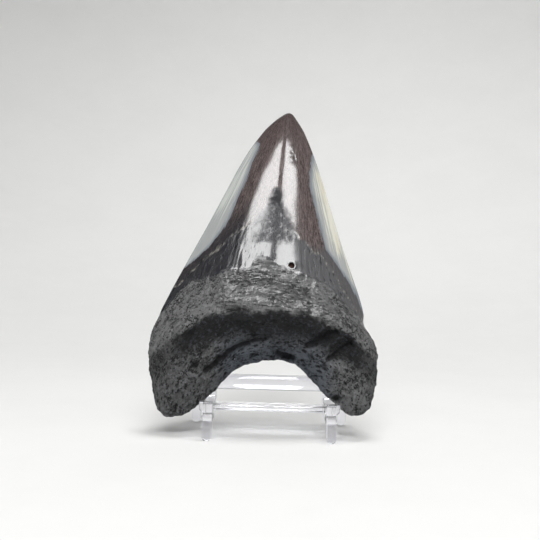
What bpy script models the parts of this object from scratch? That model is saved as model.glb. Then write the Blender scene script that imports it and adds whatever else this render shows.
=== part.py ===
"""A fossil megalodon tooth resting on a clear two-piece display easel.

Units are metres, +Z is up and the tooth's display face looks towards -Y. The tooth is lofted in its own
frame: x across, z along the slant from just above the lobe ends, y through the thickness. It then leans back
on the easel. The easel's front frame has arms with lips for the tooth to straddle, and uprights for it to
lean on. Its rear strut hooks over square keys at the uprights' tops and stands behind them.
"""

import math

import bmesh
import bpy
import numpy as np
from mathutils import Matrix, Vector, noise

MM = 0.001
GAP = 0.3 * MM  # clearance between pieces that touch

# ---------------------------------------------------------------- tooth, all in millimetres
TOOTH_LEAN = math.radians(14)
TOOTH_SEAT = Vector((-0.2, 9.9, 8.15)) * MM  # where the tooth's frame stands on the easel

# Outline of the tooth, as (across, up) points. It is followed in four runs that meet at their ends.
LEFT_EDGE = [(-42.2, 3.2), (-44.2, 12), (-45.9, 21.5), (-45.7, 28.5), (-42.0, 38.5), (-34.1, 55.3),
             (-24.5, 75.0), (-15.0, 95.4)]
TIP_EDGE = [(-15.0, 95.4), (-10.8, 103.3), (-5.9, 111.0), (-1.6, 116.4), (2.2, 119.3), (5.2, 120.4),
            (7.6, 118.5), (11.0, 112.7), (14.9, 103.2), (17.6, 95.4)]
RIGHT_EDGE = [(37.9, 5.8), (39.6, 12), (40.6, 21.5), (39.8, 27.6), (37.2, 32.2), (34.9, 35.8),
              (35.2, 38.4), (33.4, 45.7), (30.3, 54.7), (25.8, 68.3), (21.2, 83.5), (17.6, 95.4)]
BASE_EDGE = [(-42.2, 3.2), (-39.4, -0.8), (-35.6, -1.9), (-31.0, -0.6), (-26.8, 2.2), (-21.8, 6.8),
             (-15.4, 13.5), (-9.9, 17.7), (-2.8, 20.0), (4.0, 20.0), (9.6, 18.4), (15.4, 13.0),
             (20.2, 8.2), (24.9, 3.9), (29.0, 0.5), (32.4, 0.1), (35.8, 2.2), (37.9, 5.8)]
EDGE_SAMPLES = 96  # fine steps along each run, for distances to the outline

COLUMNS = 48  # quads across each face of the tooth
ROWS = 44  # quads up each face
ROW_CROWDING = 0.6  # share of the row spacing that bunches up in the root
RIM_CROWDING = 0.35  # share of the column spacing that bunches up at the sides

# Crown depth ahead of and behind the cutting edges, by height up the slant.
CROWN_HEIGHTS = [30, 45, 55, 68, 82, 95, 106, 114, 118.5, 120.4]
CROWN_FRONT = [13.6, 13.4, 12.8, 11.6, 9.9, 7.9, 5.6, 3.3, 1.6, 0.0]
CROWN_BACK = [5.2, 4.6, 4.2, 3.7, 3.1, 2.5, 1.9, 1.2, 0.6, 0.0]
CROWN_FRONT_SHAPE = (1.85, 1.12)  # powers of the domed display face
CROWN_BACK_SHAPE = (2.2, 1.0)  # powers of the nearly flat back face

ROOT_CENTRE = -1.0  # the root's arched lines and swellings are centred here
CREST = (38.6, 0.0090)  # crest of the root's bulge: height at the centre, fall per square millimetre
NECK_FRONT = (54.0, 0.0105)  # where root turns into crown on the display face
NECK_BACK = (40.0, -0.0020)
NECK_BLEND = 5.0  # half height over which it does
LOBE_DEPTH = 8.4  # depth of the display face over the lobes
LOBE_PROFILE = (2.1, 0.5)  # powers of its round profile, from rim to crest
BULGE = (7.6, 25.0)  # extra depth at the centre, and its spread
BULGE_PROFILE = (1.35, 0.75)  # powers of its sharper profile, with an underside
ROOT_BACK = (6.8, -1.6, 16.0)  # depth behind, less this much at the centre, and its spread
ROOT_RIM_RADIUS = 8.5  # rounding of the root's rim
SADDLE_DEPTH = 0.8  # hollow between the bulge and the crown
MIDPLANE_BOW = 1.3  # how far tip and lobes curve forwards

# Furrows and pockets in the display face of the root, or welts where the depth is negative:
# (points, half width, depth).
FURROWS = [
    ([(-23.5, 14.6), (-18.7, 18.9), (-15.7, 21.4), (-13.3, 23.2), (-7.9, 25.2), (-1.8, 26.9)], 1.4, 2.0),
    ([(14.4, 25.2), (18.5, 26.8), (22.8, 29.0)], 2.2, 2.3),
    ([(22.0, 20.6), (25.4, 23.0), (28.6, 25.6)], 2.0, 2.0),
    ([(19.6, 23.0), (24.4, 26.4), (28.4, 29.8)], 1.7, -0.8),
    ([(3.6, 22.2), (8.4, 20.8)], 1.5, 1.9),
    ([(12.6, 21.6), (17.4, 19.9)], 1.1, 0.9),
    ([(-17.5, 36.2), (-14.0, 37.4), (-8.5, 36.6)], 1.3, 1.2),
    ([(-13.2, 32.6), (-8.6, 33.0)], 1.5, -1.0),
    ([(-36.0, 21.0), (-31.5, 26.5)], 2.0, 0.8),
    ([(-12.0, 46.4), (-3.0, 48.2), (10.5, 46.8)], 1.4, 0.6),
]
# Round pits in the same face: (across, up, radius, depth).
PITS = [(-27.6, 16.7, 2.0, 1.3), (-29.4, 28.3, 1.9, 0.9), (-31.6, 7.2, 1.9, 0.9),
        (-37.5, 12.8, 2.0, 0.8), (24.2, 6.9, 2.2, 1.3), (19.6, 17.2, 1.9, 1.1), (31.8, 16.2, 2.1, 0.9),
        (27.6, 10.0, 1.9, 0.8), (13.0, 44.2, 1.9, 1.0), (9.2, 30.2, 1.9, 0.9), (-20.0, 27.6, 1.9, 0.8)]
LUMPS = (0.7, 11.0)  # height and size of the root's broad lumps
GRAIN = (0.42, 4.2)  # height and size of its coarse grain
NOISE_SHIFT = Vector((3.7, 11.3, 5.9))  # picks the part of the noise field that shapes the root

FORAMEN = (6.7, 54.3)  # small round hole above the bulge
FORAMEN_RADIUS = 1.05
FORAMEN_DEPTH = 2.2

# ---------------------------------------------------------------- easel, all in millimetres
SIDE_CENTRE, SIDE_WIDTH = 22.15, 3.75  # arms and uprights stand this far to each side of the middle
ARM_ENDS = (0.4, 26.0)  # near and far
ARM_HEIGHT = (7.1, 12.7)  # bottom and top
LIP_CENTRE, LIP_WIDTH, LIP_DEPTH = 22.8, 4.95, 4.0
LIP_HEIGHT = (10.2, 14.0)
LIP_CHAMFER = 1.2  # on the lip's lower outer edge
LEG_CENTRE, LEG_WIDTH, LEG_TOP = 22.5, 3.5, 9.0
LEG_ENDS = (0.55, 4.05)
UPRIGHT_FRONT = 17.05  # where the uprights' front line passes the height of the tooth's frame
UPRIGHT_DEPTH = 3.6
UPRIGHT_HEIGHT = (10.5, 51.0)
CROSS_BAR = (12.5, 20.5, 9.0, 11.2)  # near, far, bottom and top
LOW_BAR = (15.9, 21.2)  # bottom and top
HIGH_BAR = (42.5, 47.0)
BAR_THICKNESS = 2.2
GATE_MARK = (3.4, 0.6, 1.5)  # width, depth and height of the moulding scar on the cross bar

STRUT_CENTRE, STRUT_WIDTH = 29.1, 3.6
KEY = (27.4, 30.2, 45.0, 47.8)  # near, far, bottom and top of the square key
HOOK = (26.0, 35.2, 41.5, 50.2)  # the block that drops over it
REAR_FOOT = (37.6, 42.0)  # near and far
STRUT_RISE = (0, -7.0, 40.0)  # from the foot to the strut's top inside the hook
STRUT_BAR = (35.8, 38.2, 16.9, 19.7)  # near, far, bottom and top
FOOT_SIDES = 16
EDGE_ROUND = 0.35


# ---------------------------------------------------------------- tooth
def smooth_step(value, low, high):
    """0 below low, 1 above high, and an S curve between them."""
    share = np.clip((value - low) / (high - low), 0.0, 1.0)
    return share * share * (3 - 2 * share)


def curve_through(points, shares):
    """Points on a smooth curve through the given ones, at shares of its length."""
    knots = np.array(points, float)
    padded = np.vstack([2 * knots[0] - knots[1], knots, 2 * knots[-1] - knots[-2]])
    steps = np.linspace(0, 1, 24, endpoint=False)[:, None]
    dense = []
    for a, b, c, d in zip(padded, padded[1:], padded[2:], padded[3:]):
        dense.append(0.5 * (2 * b + (c - a) * steps + (2 * a - 5 * b + 4 * c - d) * steps**2
                            + (3 * b - a - 3 * c + d) * steps**3))
    dense = np.vstack(dense + [knots[-1:]])
    length = np.concatenate([[0], np.cumsum(np.linalg.norm(np.diff(dense, axis=0), axis=1))])
    at = np.asarray(shares) * length[-1]
    return np.stack([np.interp(at, length, dense[:, axis]) for axis in (0, 1)], axis=-1)


def spread_over_outline(across, up):
    """The patch that fills the outline, bounded by its four runs. Both inputs run from 0 to 1."""
    left, right = curve_through(LEFT_EDGE, up), curve_through(RIGHT_EDGE, up)
    base, tip = curve_through(BASE_EDGE, across), curve_through(TIP_EDGE, across)
    s, t = across[:, None], up[:, None]
    corners = ((1 - s) * (1 - t) * np.array(BASE_EDGE[0]) + s * (1 - t) * np.array(BASE_EDGE[-1])
               + (1 - s) * t * np.array(TIP_EDGE[0]) + s * t * np.array(TIP_EDGE[-1]))
    return (1 - s) * left + s * right + (1 - t) * base + t * tip - corners


def outline_points():
    """The whole outline as one closed run of fine steps."""
    shares = np.linspace(0, 1, EDGE_SAMPLES)
    runs = [curve_through(edge, shares) for edge in (BASE_EDGE, RIGHT_EDGE, TIP_EDGE[::-1], LEFT_EDGE[::-1])]
    return np.vstack(runs)


def distance_to_segments(points, starts, ends):
    """How far each point is from the nearest of the segments."""
    along = ends - starts
    length_squared = np.maximum((along**2).sum(1), 1e-12)
    offset = points[:, None] - starts[None]
    share = np.clip((offset * along[None]).sum(2) / length_squared, 0, 1)
    return np.linalg.norm(offset - share[..., None] * along[None], axis=2).min(1)


def width_at(heights):
    """Across positions of the left and right edges at each height, for the part above the lobes."""
    shares = np.linspace(0, 1, EDGE_SAMPLES)
    left = np.vstack([curve_through(LEFT_EDGE, shares), curve_through(TIP_EDGE[:6], shares)])
    right = np.vstack([curve_through(RIGHT_EDGE, shares), curve_through(TIP_EDGE[5:][::-1], shares)])
    return (np.interp(heights, left[:, 1], left[:, 0]), np.interp(heights, right[:, 1], right[:, 0]))


def arched_line(line, across):
    """Height of an arched line given as its height at the root's centre and its fall to the sides."""
    centre_height, fall = line
    return centre_height - fall * (across - ROOT_CENTRE) ** 2


def swell(across, spread):
    """1 at the root's centre, fading to 0 at the sides."""
    return np.exp(-(((across - ROOT_CENTRE) / spread) ** 2))


def profile(climb, shape):
    """A rounded rise from 0 to 1 as the climb goes from 0 to 1."""
    inner, outer = shape
    return (1 - (1 - climb) ** inner) ** outer


def crown_depth(points, depths, shape):
    """Depth of the crown on one side of its cutting edges."""
    left, right = width_at(points[:, 1])
    side = np.clip(np.abs(2 * points[:, 0] - left - right) / np.maximum(right - left, 1e-6), 0, 1)
    inner, outer = shape
    return np.interp(points[:, 1], CROWN_HEIGHTS, depths) * (1 - side**inner) ** outer


def rounded_rim(distance):
    """0 at the rim, rising along a quarter circle to 1."""
    share = np.clip(distance / ROOT_RIM_RADIUS, 0, 1)
    return np.sqrt(1 - (1 - share) ** 2)


def front_depth(points, rim_distance):
    """How far the display face stands ahead of the mid plane."""
    across, up = points.T
    crown = crown_depth(points, CROWN_FRONT, CROWN_FRONT_SHAPE)
    crest, neck = arched_line(CREST, across), arched_line(NECK_FRONT, across)
    slope = 2 * CREST[1] * (across - ROOT_CENTRE)
    below = np.maximum(crest - up, 0) / np.sqrt(1 + slope**2)
    climb = rim_distance / (rim_distance + below + 1e-9)
    extra, spread = BULGE
    bulge = LOBE_DEPTH * profile(climb, LOBE_PROFILE)
    bulge += extra * swell(across, spread) * profile(climb, BULGE_PROFILE)
    above = np.clip((up - crest) / np.maximum(neck - crest, 1e-6), 0, 1)
    root = bulge + (crown - bulge) * smooth_step(above, 0.1, 1.0)
    root -= SADDLE_DEPTH * np.sin(math.pi * above) ** 2
    share = smooth_step(up, neck - NECK_BLEND, neck + NECK_BLEND)
    return (1 - share) * root * rounded_rim(rim_distance) + share * crown


def back_depth(points, rim_distance):
    """How far the back face stands behind the mid plane."""
    across, up = points.T
    crown = crown_depth(points, CROWN_BACK, CROWN_BACK_SHAPE)
    depth, extra, spread = ROOT_BACK
    root = (depth + extra * swell(across, spread)) * rounded_rim(rim_distance)
    neck = arched_line(NECK_BACK, across)
    share = smooth_step(up, neck - NECK_BLEND, neck + NECK_BLEND)
    return (1 - share) * root + share * crown


def crowded(share, amount):
    """Moves even spacing towards both ends by the given amount."""
    return (1 - amount) * share + amount * 0.5 * (1 - np.cos(math.pi * share))


def face_sheet(depth_of, side):
    """One face of the tooth: a grid bent over the outline, ahead of it for side -1 and behind it for 1."""
    sheet = bmesh.new()
    bmesh.ops.create_grid(sheet, x_segments=COLUMNS, y_segments=ROWS, size=1)
    shares = np.array([(v.co.x + 1, v.co.y + 1) for v in sheet.verts]) / 2
    rising = 1 - np.cos(shares[:, 1] * math.pi / 2)
    up = (1 - ROW_CROWDING) * shares[:, 1] + ROW_CROWDING * rising
    points = spread_over_outline(crowded(shares[:, 0], RIM_CROWDING), up)
    outline = outline_points()
    rim_distance = distance_to_segments(points, outline, np.roll(outline, -1, axis=0))
    inside = (np.abs(shares - 0.5) < 0.4999).all(1)
    depth = np.where(inside, depth_of(points, rim_distance), 0)
    bow = -MIDPLANE_BOW * ((points[:, 1] - 60) / 60) ** 2
    for vertex, (x, z), y in zip(sheet.verts, points, bow + side * depth):
        vertex.co = Vector((x, y, z)) * MM
    if side > 0:
        bmesh.ops.reverse_faces(sheet, faces=sheet.faces)
    mesh = bpy.data.meshes.new("tooth_face")
    sheet.to_mesh(mesh)
    sheet.free()
    return mesh


def gouge(point, bends, half_width, depth):
    """How deep a furrow cuts at a point of the display face."""
    ends = np.array(bends, float)
    away = distance_to_segments(np.array([point]), ends[:-1], ends[1:])[0]
    return depth * math.exp(-((away / half_width) ** 2))


def root_relief(position, normal):
    """Height of the root's rough surface over the smooth form, in millimetres."""
    x, y, z = position
    lump_height, lump_size = LUMPS
    grain_height, grain_size = GRAIN
    relief = lump_height * noise.noise(position / lump_size + NOISE_SHIFT)
    relief += grain_height * noise.fractal(position / grain_size + NOISE_SHIFT, 0.9, 2.0, 2)
    facing = max(0.0, -normal.y)
    for bends, half_width, depth in FURROWS:
        relief -= facing * gouge((x, z), bends, half_width, depth)
    for across, up, radius, depth in PITS:
        relief -= facing * depth * math.exp(-((x - across) ** 2 + (z - up) ** 2) / radius**2)
    return relief


def roughen_root(solid):
    """Moves the root's surface in and out along its normals, and leaves the crown polished."""
    solid.normal_update()
    moved = []
    for vertex in solid.verts:
        position = vertex.co / MM
        line = NECK_FRONT if vertex.normal.y < 0 else NECK_BACK
        neck = arched_line(line, position.x)
        share = 1 - float(smooth_step(position.z, neck - 6, neck + 1.5))
        moved.append(vertex.co + vertex.normal * (share * root_relief(position, vertex.normal) * MM))
    for vertex, place in zip(solid.verts, moved):
        vertex.co = place


def sink_foramen(solid):
    """Opens the small round hole: the quads round one vertex are inset to a ring and pushed in."""
    aim = Vector((FORAMEN[0], 0, FORAMEN[1])) * MM
    ahead = [v for v in solid.verts if v.normal.y < 0]
    middle = min(ahead, key=lambda v: (v.co.x - aim.x) ** 2 + (v.co.z - aim.z) ** 2)
    faces = list(middle.link_faces)
    normal = middle.normal.copy()
    centre = middle.co.copy()
    bmesh.ops.inset_region(solid, faces=faces, thickness=0.25 * MM, use_even_offset=True)
    ring = {v for face in faces for v in face.verts} - {middle}
    for vertex in ring:
        spoke = vertex.co - centre
        spoke -= normal * spoke.dot(normal)
        vertex.co = centre + spoke.normalized() * FORAMEN_RADIUS * MM
    made = bmesh.ops.extrude_face_region(solid, geom=faces)
    pushed = [item for item in made["geom"] if isinstance(item, bmesh.types.BMVert)]
    bmesh.ops.translate(solid, verts=pushed, vec=-normal * FORAMEN_DEPTH * MM)
    stale = [face for face in faces if face.is_valid]
    bmesh.ops.delete(solid, geom=stale, context="FACES_ONLY")


def make_tooth(collection, material):
    """The tooth, one solid: two bent sheets welded round the rim, roughened, with its small hole."""
    solid = bmesh.new()
    for depth_of, side in ((front_depth, -1), (back_depth, 1)):
        solid.from_mesh(face_sheet(depth_of, side))
    bmesh.ops.remove_doubles(solid, verts=solid.verts, dist=0.001 * MM)
    roughen_root(solid)
    solid.normal_update()
    sink_foramen(solid)
    mesh = bpy.data.meshes.new("tooth")
    solid.to_mesh(mesh)
    solid.free()
    mesh.shade_smooth()
    mesh.set_sharp_from_angle(angle=math.radians(50))
    tooth = bpy.data.objects.new("tooth", mesh)
    tooth.location = TOOTH_SEAT
    tooth.rotation_euler.x = -TOOTH_LEAN
    mesh.materials.append(material)
    collection.objects.link(tooth)
    return tooth


# ---------------------------------------------------------------- easel
def soften(piece):
    """A small moulded round on every edge."""
    bevel = piece.modifiers.new("edges", "BEVEL")
    bevel.width = EDGE_ROUND * MM
    bevel.segments = 1
    bevel.limit_method = "ANGLE"
    bevel.angle_limit = math.radians(30)


def block(name, low, high, turn=0.0, softened=True):
    """A box between two corners in millimetres, turned about X through its centre."""
    centre = (Vector(low) + Vector(high)) / 2
    size = Vector(high) - Vector(low)
    solid = bmesh.new()
    bmesh.ops.create_cube(solid, size=1, matrix=Matrix.Diagonal(size * MM).to_4x4())
    mesh = bpy.data.meshes.new(name)
    solid.to_mesh(mesh)
    solid.free()
    piece = bpy.data.objects.new(name, mesh)
    piece.location = centre * MM
    piece.rotation_euler.x = turn
    if softened:
        soften(piece)
    return piece


def round_footed_leg(name, centre, near, far, width, rise):
    """A leg whose foot is round when seen from the front, with a narrow flat to stand on.

    It starts as a many-sided bar lying along Y, and its upper half is carried away by the rise. Both ends
    are split where that rise begins and ends, so that every face stays flat.
    """
    radius = width / 2
    corner = radius / math.cos(math.pi / FOOT_SIDES)
    facing = Matrix.Rotation(math.pi / 2, 4, "X") @ Matrix.Rotation(math.pi / FOOT_SIDES, 4, "Z")
    solid = bmesh.new()
    bmesh.ops.create_cone(solid, cap_ends=True, segments=FOOT_SIDES, radius1=corner * MM,
                          radius2=corner * MM, depth=(far - near) * MM, matrix=facing)
    upper = [vertex for vertex in solid.verts if vertex.co.z > 0]
    lower = [vertex for vertex in solid.verts if vertex.co.z < 0]
    for half in (upper, lower):
        widest = max(abs(vertex.co.x) for vertex in half)
        seam = [vertex for vertex in half if abs(vertex.co.x) > widest - 1e-6]
        bmesh.ops.connect_verts(solid, verts=seam)
    bmesh.ops.translate(solid, verts=upper, vec=Vector(rise) * MM)
    mesh = bpy.data.meshes.new(name)
    solid.to_mesh(mesh)
    solid.free()
    piece = bpy.data.objects.new(name, mesh)
    piece.location = Vector((centre, (near + far) / 2, radius)) * MM
    return piece


def unite(first, others, helpers, operation="UNION"):
    """Adds the other shapes to the first, or cuts them from it, and files them as helpers."""
    for other in others:
        helpers.objects.link(other)
        other.hide_render = True
        other.display_type = "WIRE"
        step = first.modifiers.new(f"{operation.lower()}_{other.name}", "BOOLEAN")
        step.operation = operation
        step.solver = "EXACT"
        step.object = other


def make_lip(name, side):
    """The block at an arm's front end, with its lower outer edge cut away."""
    centre = side * LIP_CENTRE
    bottom, top = LIP_HEIGHT
    lip = block(name, (centre - LIP_WIDTH / 2, 0, bottom), (centre + LIP_WIDTH / 2, LIP_DEPTH, top))
    solid = bmesh.new()
    solid.from_mesh(lip.data)
    outer = [e for e in solid.edges if all(v.co.x * side > 0 and v.co.z < 0 for v in e.verts)]
    bmesh.ops.bevel(solid, geom=outer, offset=LIP_CHAMFER * MM, segments=1, affect="EDGES")
    solid.to_mesh(lip.data)
    solid.free()
    return lip


def bar_between(name, half_span, near, far, bottom, top, turn=0.0):
    """A crossbar from one side of the easel to the other."""
    return block(name, (-half_span, near, bottom), (half_span, far, top), turn)


def upright_centre(height):
    """How far back the middle of the uprights is at a height."""
    lean = (height - TOOTH_SEAT.z / MM) * math.tan(TOOTH_LEAN)
    return UPRIGHT_FRONT + lean + UPRIGHT_DEPTH / 2 / math.cos(TOOTH_LEAN)


def leaning_bar(name, bottom, top):
    """A crossbar that lies along the lean of the uprights."""
    centre = upright_centre((bottom + top) / 2)
    return bar_between(name, SIDE_CENTRE, centre - BAR_THICKNESS / 2, centre + BAR_THICKNESS / 2, bottom,
                       top, -TOOTH_LEAN)


def leaning_upright(name, x):
    """One upright, turned to the tooth's lean."""
    bottom, top = UPRIGHT_HEIGHT
    middle = (bottom + top) / 2
    centre = upright_centre(middle)
    reach = (top - bottom) / 2 / math.cos(TOOTH_LEAN)
    return block(name, (x - SIDE_WIDTH / 2, centre - UPRIGHT_DEPTH / 2, middle - reach),
                 (x + SIDE_WIDTH / 2, centre + UPRIGHT_DEPTH / 2, middle + reach), -TOOTH_LEAN)


def make_front_frame(collection, helpers, material):
    """Arms, lips, front legs, uprights, keys and crossbars, moulded as one piece."""
    frame = bar_between("easel_front_frame", SIDE_CENTRE, *CROSS_BAR)
    parts = [leaning_bar("low_bar", *LOW_BAR), leaning_bar("high_bar", *HIGH_BAR)]
    for side, label in ((-1, "left"), (1, "right")):
        x = side * SIDE_CENTRE
        half = SIDE_WIDTH / 2
        parts.append(block(f"arm_{label}", (x - half, ARM_ENDS[0], ARM_HEIGHT[0]),
                           (x + half, ARM_ENDS[1], ARM_HEIGHT[1])))
        parts.append(make_lip(f"lip_{label}", side))
        parts.append(round_footed_leg(f"leg_{label}", side * LEG_CENTRE, *LEG_ENDS, LEG_WIDTH,
                                      (0, 0, LEG_TOP - LEG_WIDTH)))
        parts.append(leaning_upright(f"upright_{label}", x))
        near, far, bottom, top = KEY
        inner, outer = sorted((x, side * (STRUT_CENTRE + STRUT_WIDTH / 2)))
        parts.append(block(f"key_{label}", (inner, near, bottom), (outer, far, top)))
    unite(frame, parts, helpers)
    width, depth, height = GATE_MARK
    near, top = CROSS_BAR[0], CROSS_BAR[3]
    scar = block("gate_mark", (-width / 2, near - 1, top - height), (width / 2, near + depth, top + 1),
                 softened=False)
    unite(frame, [scar], helpers, "DIFFERENCE")
    frame.data.materials.append(material)
    collection.objects.link(frame)
    return frame


def make_rear_strut(collection, helpers, material):
    """Two legs with hooks at their tops and a crossbar between them, moulded as one piece."""
    strut = bar_between("easel_rear_strut", STRUT_CENTRE, *STRUT_BAR)
    parts = []
    slots = []
    half = STRUT_WIDTH / 2
    clear = GAP / MM
    for side, label in ((-1, "left"), (1, "right")):
        x = side * STRUT_CENTRE
        parts.append(round_footed_leg(f"strut_leg_{label}", x, *REAR_FOOT, STRUT_WIDTH - 0.02, STRUT_RISE))
        near, far, bottom, top = HOOK
        parts.append(block(f"hook_{label}", (x - half, near, bottom), (x + half, far, top)))
        near, far, bottom, top = KEY
        slots.append(block(f"slot_{label}", (x - half - 1, near - clear, HOOK[2] - 3),
                           (x + half + 1, far + clear, top + clear), softened=False))
    unite(strut, parts, helpers)
    unite(strut, slots, helpers, "DIFFERENCE")
    strut.data.materials.append(material)
    collection.objects.link(strut)
    return strut


# ---------------------------------------------------------------- assembly
def finish_of(name, colour, roughness, alpha=1.0):
    """A plain principled material."""
    material = bpy.data.materials.new(name)
    material.use_nodes = True
    shader = material.node_tree.nodes["Principled BSDF"]
    shader.inputs["Base Color"].default_value = (*colour, 1.0)
    shader.inputs["Roughness"].default_value = roughness
    shader.inputs["Metallic"].default_value = 0.0
    shader.inputs["Alpha"].default_value = alpha
    return material


def new_collection(name):
    """A collection linked to the scene."""
    collection = bpy.data.collections.new(name)
    bpy.context.scene.collection.children.link(collection)
    return collection


def stand_on_origin(pieces, helpers):
    """Moves everything so that the origin is under the middle of the whole thing, on the floor."""
    bpy.context.view_layer.update()
    depsgraph = bpy.context.evaluated_depsgraph_get()
    corners = []
    for piece in pieces:
        evaluated = piece.evaluated_get(depsgraph)
        corners += [evaluated.matrix_world @ v.co for v in evaluated.data.vertices]
    low = Vector([min(c[axis] for c in corners) for axis in range(3)])
    high = Vector([max(c[axis] for c in corners) for axis in range(3)])
    shift = Vector(((low.x + high.x) / 2, (low.y + high.y) / 2, low.z))
    for piece in [*pieces, *helpers.objects]:
        piece.location -= shift


def main():
    for item in list(bpy.data.objects):
        bpy.data.objects.remove(item, do_unlink=True)
    collection = new_collection("megalodon_tooth_on_easel")
    helpers = new_collection("shaping_helpers")
    fossil = finish_of("fossil", (0.035, 0.032, 0.033), 0.3)
    acrylic = finish_of("clear_acrylic", (0.9, 0.91, 0.94), 0.06, 0.35)
    pieces = [make_tooth(collection, fossil), make_front_frame(collection, helpers, acrylic),
              make_rear_strut(collection, helpers, acrylic)]
    stand_on_origin(pieces, helpers)


main()
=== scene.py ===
"""Looks of a fossil megalodon tooth that leans on a small clear display easel, in metres."""

import logging
import math
from dataclasses import dataclass, field
from enum import Enum
from typing import Callable, Sequence

import bpy
import numpy as np
from mathutils import Matrix, Vector, noise


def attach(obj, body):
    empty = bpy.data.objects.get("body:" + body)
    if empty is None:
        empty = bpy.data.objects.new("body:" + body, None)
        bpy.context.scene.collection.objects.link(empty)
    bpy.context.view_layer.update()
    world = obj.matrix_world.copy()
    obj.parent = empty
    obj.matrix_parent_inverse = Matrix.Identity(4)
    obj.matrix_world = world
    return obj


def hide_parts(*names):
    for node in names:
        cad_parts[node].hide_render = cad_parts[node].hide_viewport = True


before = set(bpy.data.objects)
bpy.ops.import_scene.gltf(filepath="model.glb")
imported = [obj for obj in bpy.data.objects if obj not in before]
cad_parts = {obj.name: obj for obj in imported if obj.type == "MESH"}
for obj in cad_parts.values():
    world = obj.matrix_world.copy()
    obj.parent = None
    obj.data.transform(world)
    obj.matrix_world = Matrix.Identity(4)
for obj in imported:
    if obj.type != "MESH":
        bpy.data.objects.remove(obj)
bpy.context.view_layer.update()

LOG = logging.getLogger("tooth_on_easel")
MM = 0.001
BODY = "root"
Points = Sequence[tuple[float, float]]
Span = tuple[float, float]
Triple = tuple[float, float, float]
Colour = Triple
Masks = dict[str, np.ndarray]
Socket = bpy.types.NodeSocket
Sockets = dict[str, Socket]
Value = float | tuple | Socket


class Slot(Enum):
    """The record's two materials."""

    FOSSIL = "fossil_tooth"
    ACRYLIC = "clear_acrylic"


# ------------------------------------------------------------------ small helpers
def deselect_all() -> None:
    """Leaves object mode with nothing selected."""
    if bpy.context.object and bpy.context.object.mode != "OBJECT":
        bpy.ops.object.mode_set(mode="OBJECT")
    bpy.ops.object.select_all(action="DESELECT")


def make_active(piece: bpy.types.Object) -> None:
    """Selects one object alone and makes it the active one."""
    deselect_all()
    piece.select_set(True)
    bpy.context.view_layer.objects.active = piece


def clear_selection(piece: bpy.types.Object, kind: str) -> None:
    """Makes a piece active in object mode, with nothing in its mesh selected.

    Args:
        piece: The object.
        kind: What edit mode will select: "EDGE" or "FACE".
    """
    make_active(piece)
    bpy.ops.object.mode_set(mode="EDIT")
    bpy.ops.mesh.select_mode(type=kind)
    bpy.ops.mesh.select_all(action="DESELECT")
    bpy.ops.object.mode_set(mode="OBJECT")


def smooth_step(value: np.ndarray, low: float, high: float) -> np.ndarray:
    """0 below low, 1 above high, with an S curve between them."""
    share = np.clip((value - low) / (high - low), 0.0, 1.0)
    return share * share * (3 - 2 * share)


def fade(value: np.ndarray, low: float, high: float) -> np.ndarray:
    """1 below low, 0 above high, with an S curve between them."""
    return 1 - smooth_step(value, low, high)


def bell(value: np.ndarray, width: float) -> np.ndarray:
    """1 where the value is 0, and less the further it is from there."""
    return np.exp(-((value / width) ** 2))


def away_from_line(places: np.ndarray, bends: Points) -> np.ndarray:
    """Distance of each place from a bent line.

    Args:
        places: Rows of two coordinates.
        bends: The points of the line.

    Returns:
        One distance for each row.
    """
    line = np.array(bends, float)
    nearest = np.full(len(places), np.inf)
    for start, end in zip(line[:-1], line[1:]):
        along = end - start
        share = np.clip((places - start) @ along / (along @ along), 0, 1)
        nearest = np.minimum(nearest, np.linalg.norm(places - start - share[:, None] * along, axis=1))
    return nearest


def above_line(places: np.ndarray, bends: Points) -> np.ndarray:
    """How far each place is above a line that runs from left to right."""
    line = np.array(bends, float)
    return places[:, 1] - np.interp(places[:, 0], line[:, 0], line[:, 1])


def fractal(points: np.ndarray, size: float | np.ndarray, shift: float, octaves: int = 2) -> np.ndarray:
    """Soft noise round 0 at each point, with features of the given size.

    Args:
        points: Rows of three coordinates.
        size: Size of the largest features, or one for each axis.
        shift: Moves the pattern, so that fields differ.
        octaves: How many finer layers are added.

    Returns:
        One value for each row.
    """
    scaled = points / size + shift
    return np.array([noise.fractal(Vector(p), 1.0, 2.0, octaves) for p in scaled])


def ridges(points: np.ndarray, size: float | np.ndarray, shift: float, octaves: int = 3) -> np.ndarray:
    """Noise made of sharp ridges, from 0 to about 2 at each point."""
    scaled = points / size + shift
    return np.array([noise.ridged_multi_fractal(Vector(p), 0.9, 2.1, octaves, 1.0, 2.0) for p in scaled])


def cells(points: np.ndarray, size: float | np.ndarray, shift: float) -> tuple[np.ndarray, np.ndarray]:
    """Scattered dots.

    Args:
        points: Rows of three coordinates.
        size: About how far apart the dots are.
        shift: Moves the pattern, so that fields differ.

    Returns:
        How far each point is from the nearest dot, and that dot's own number from 0 to 1.
    """
    away, number = [], []
    for p in points / size + shift:
        distances, dots = noise.voronoi(Vector(p))
        away.append(distances[0])
        number.append(noise.cell(dots[0] * 7.3) % 1.0)
    return np.array(away), np.array(number)


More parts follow.
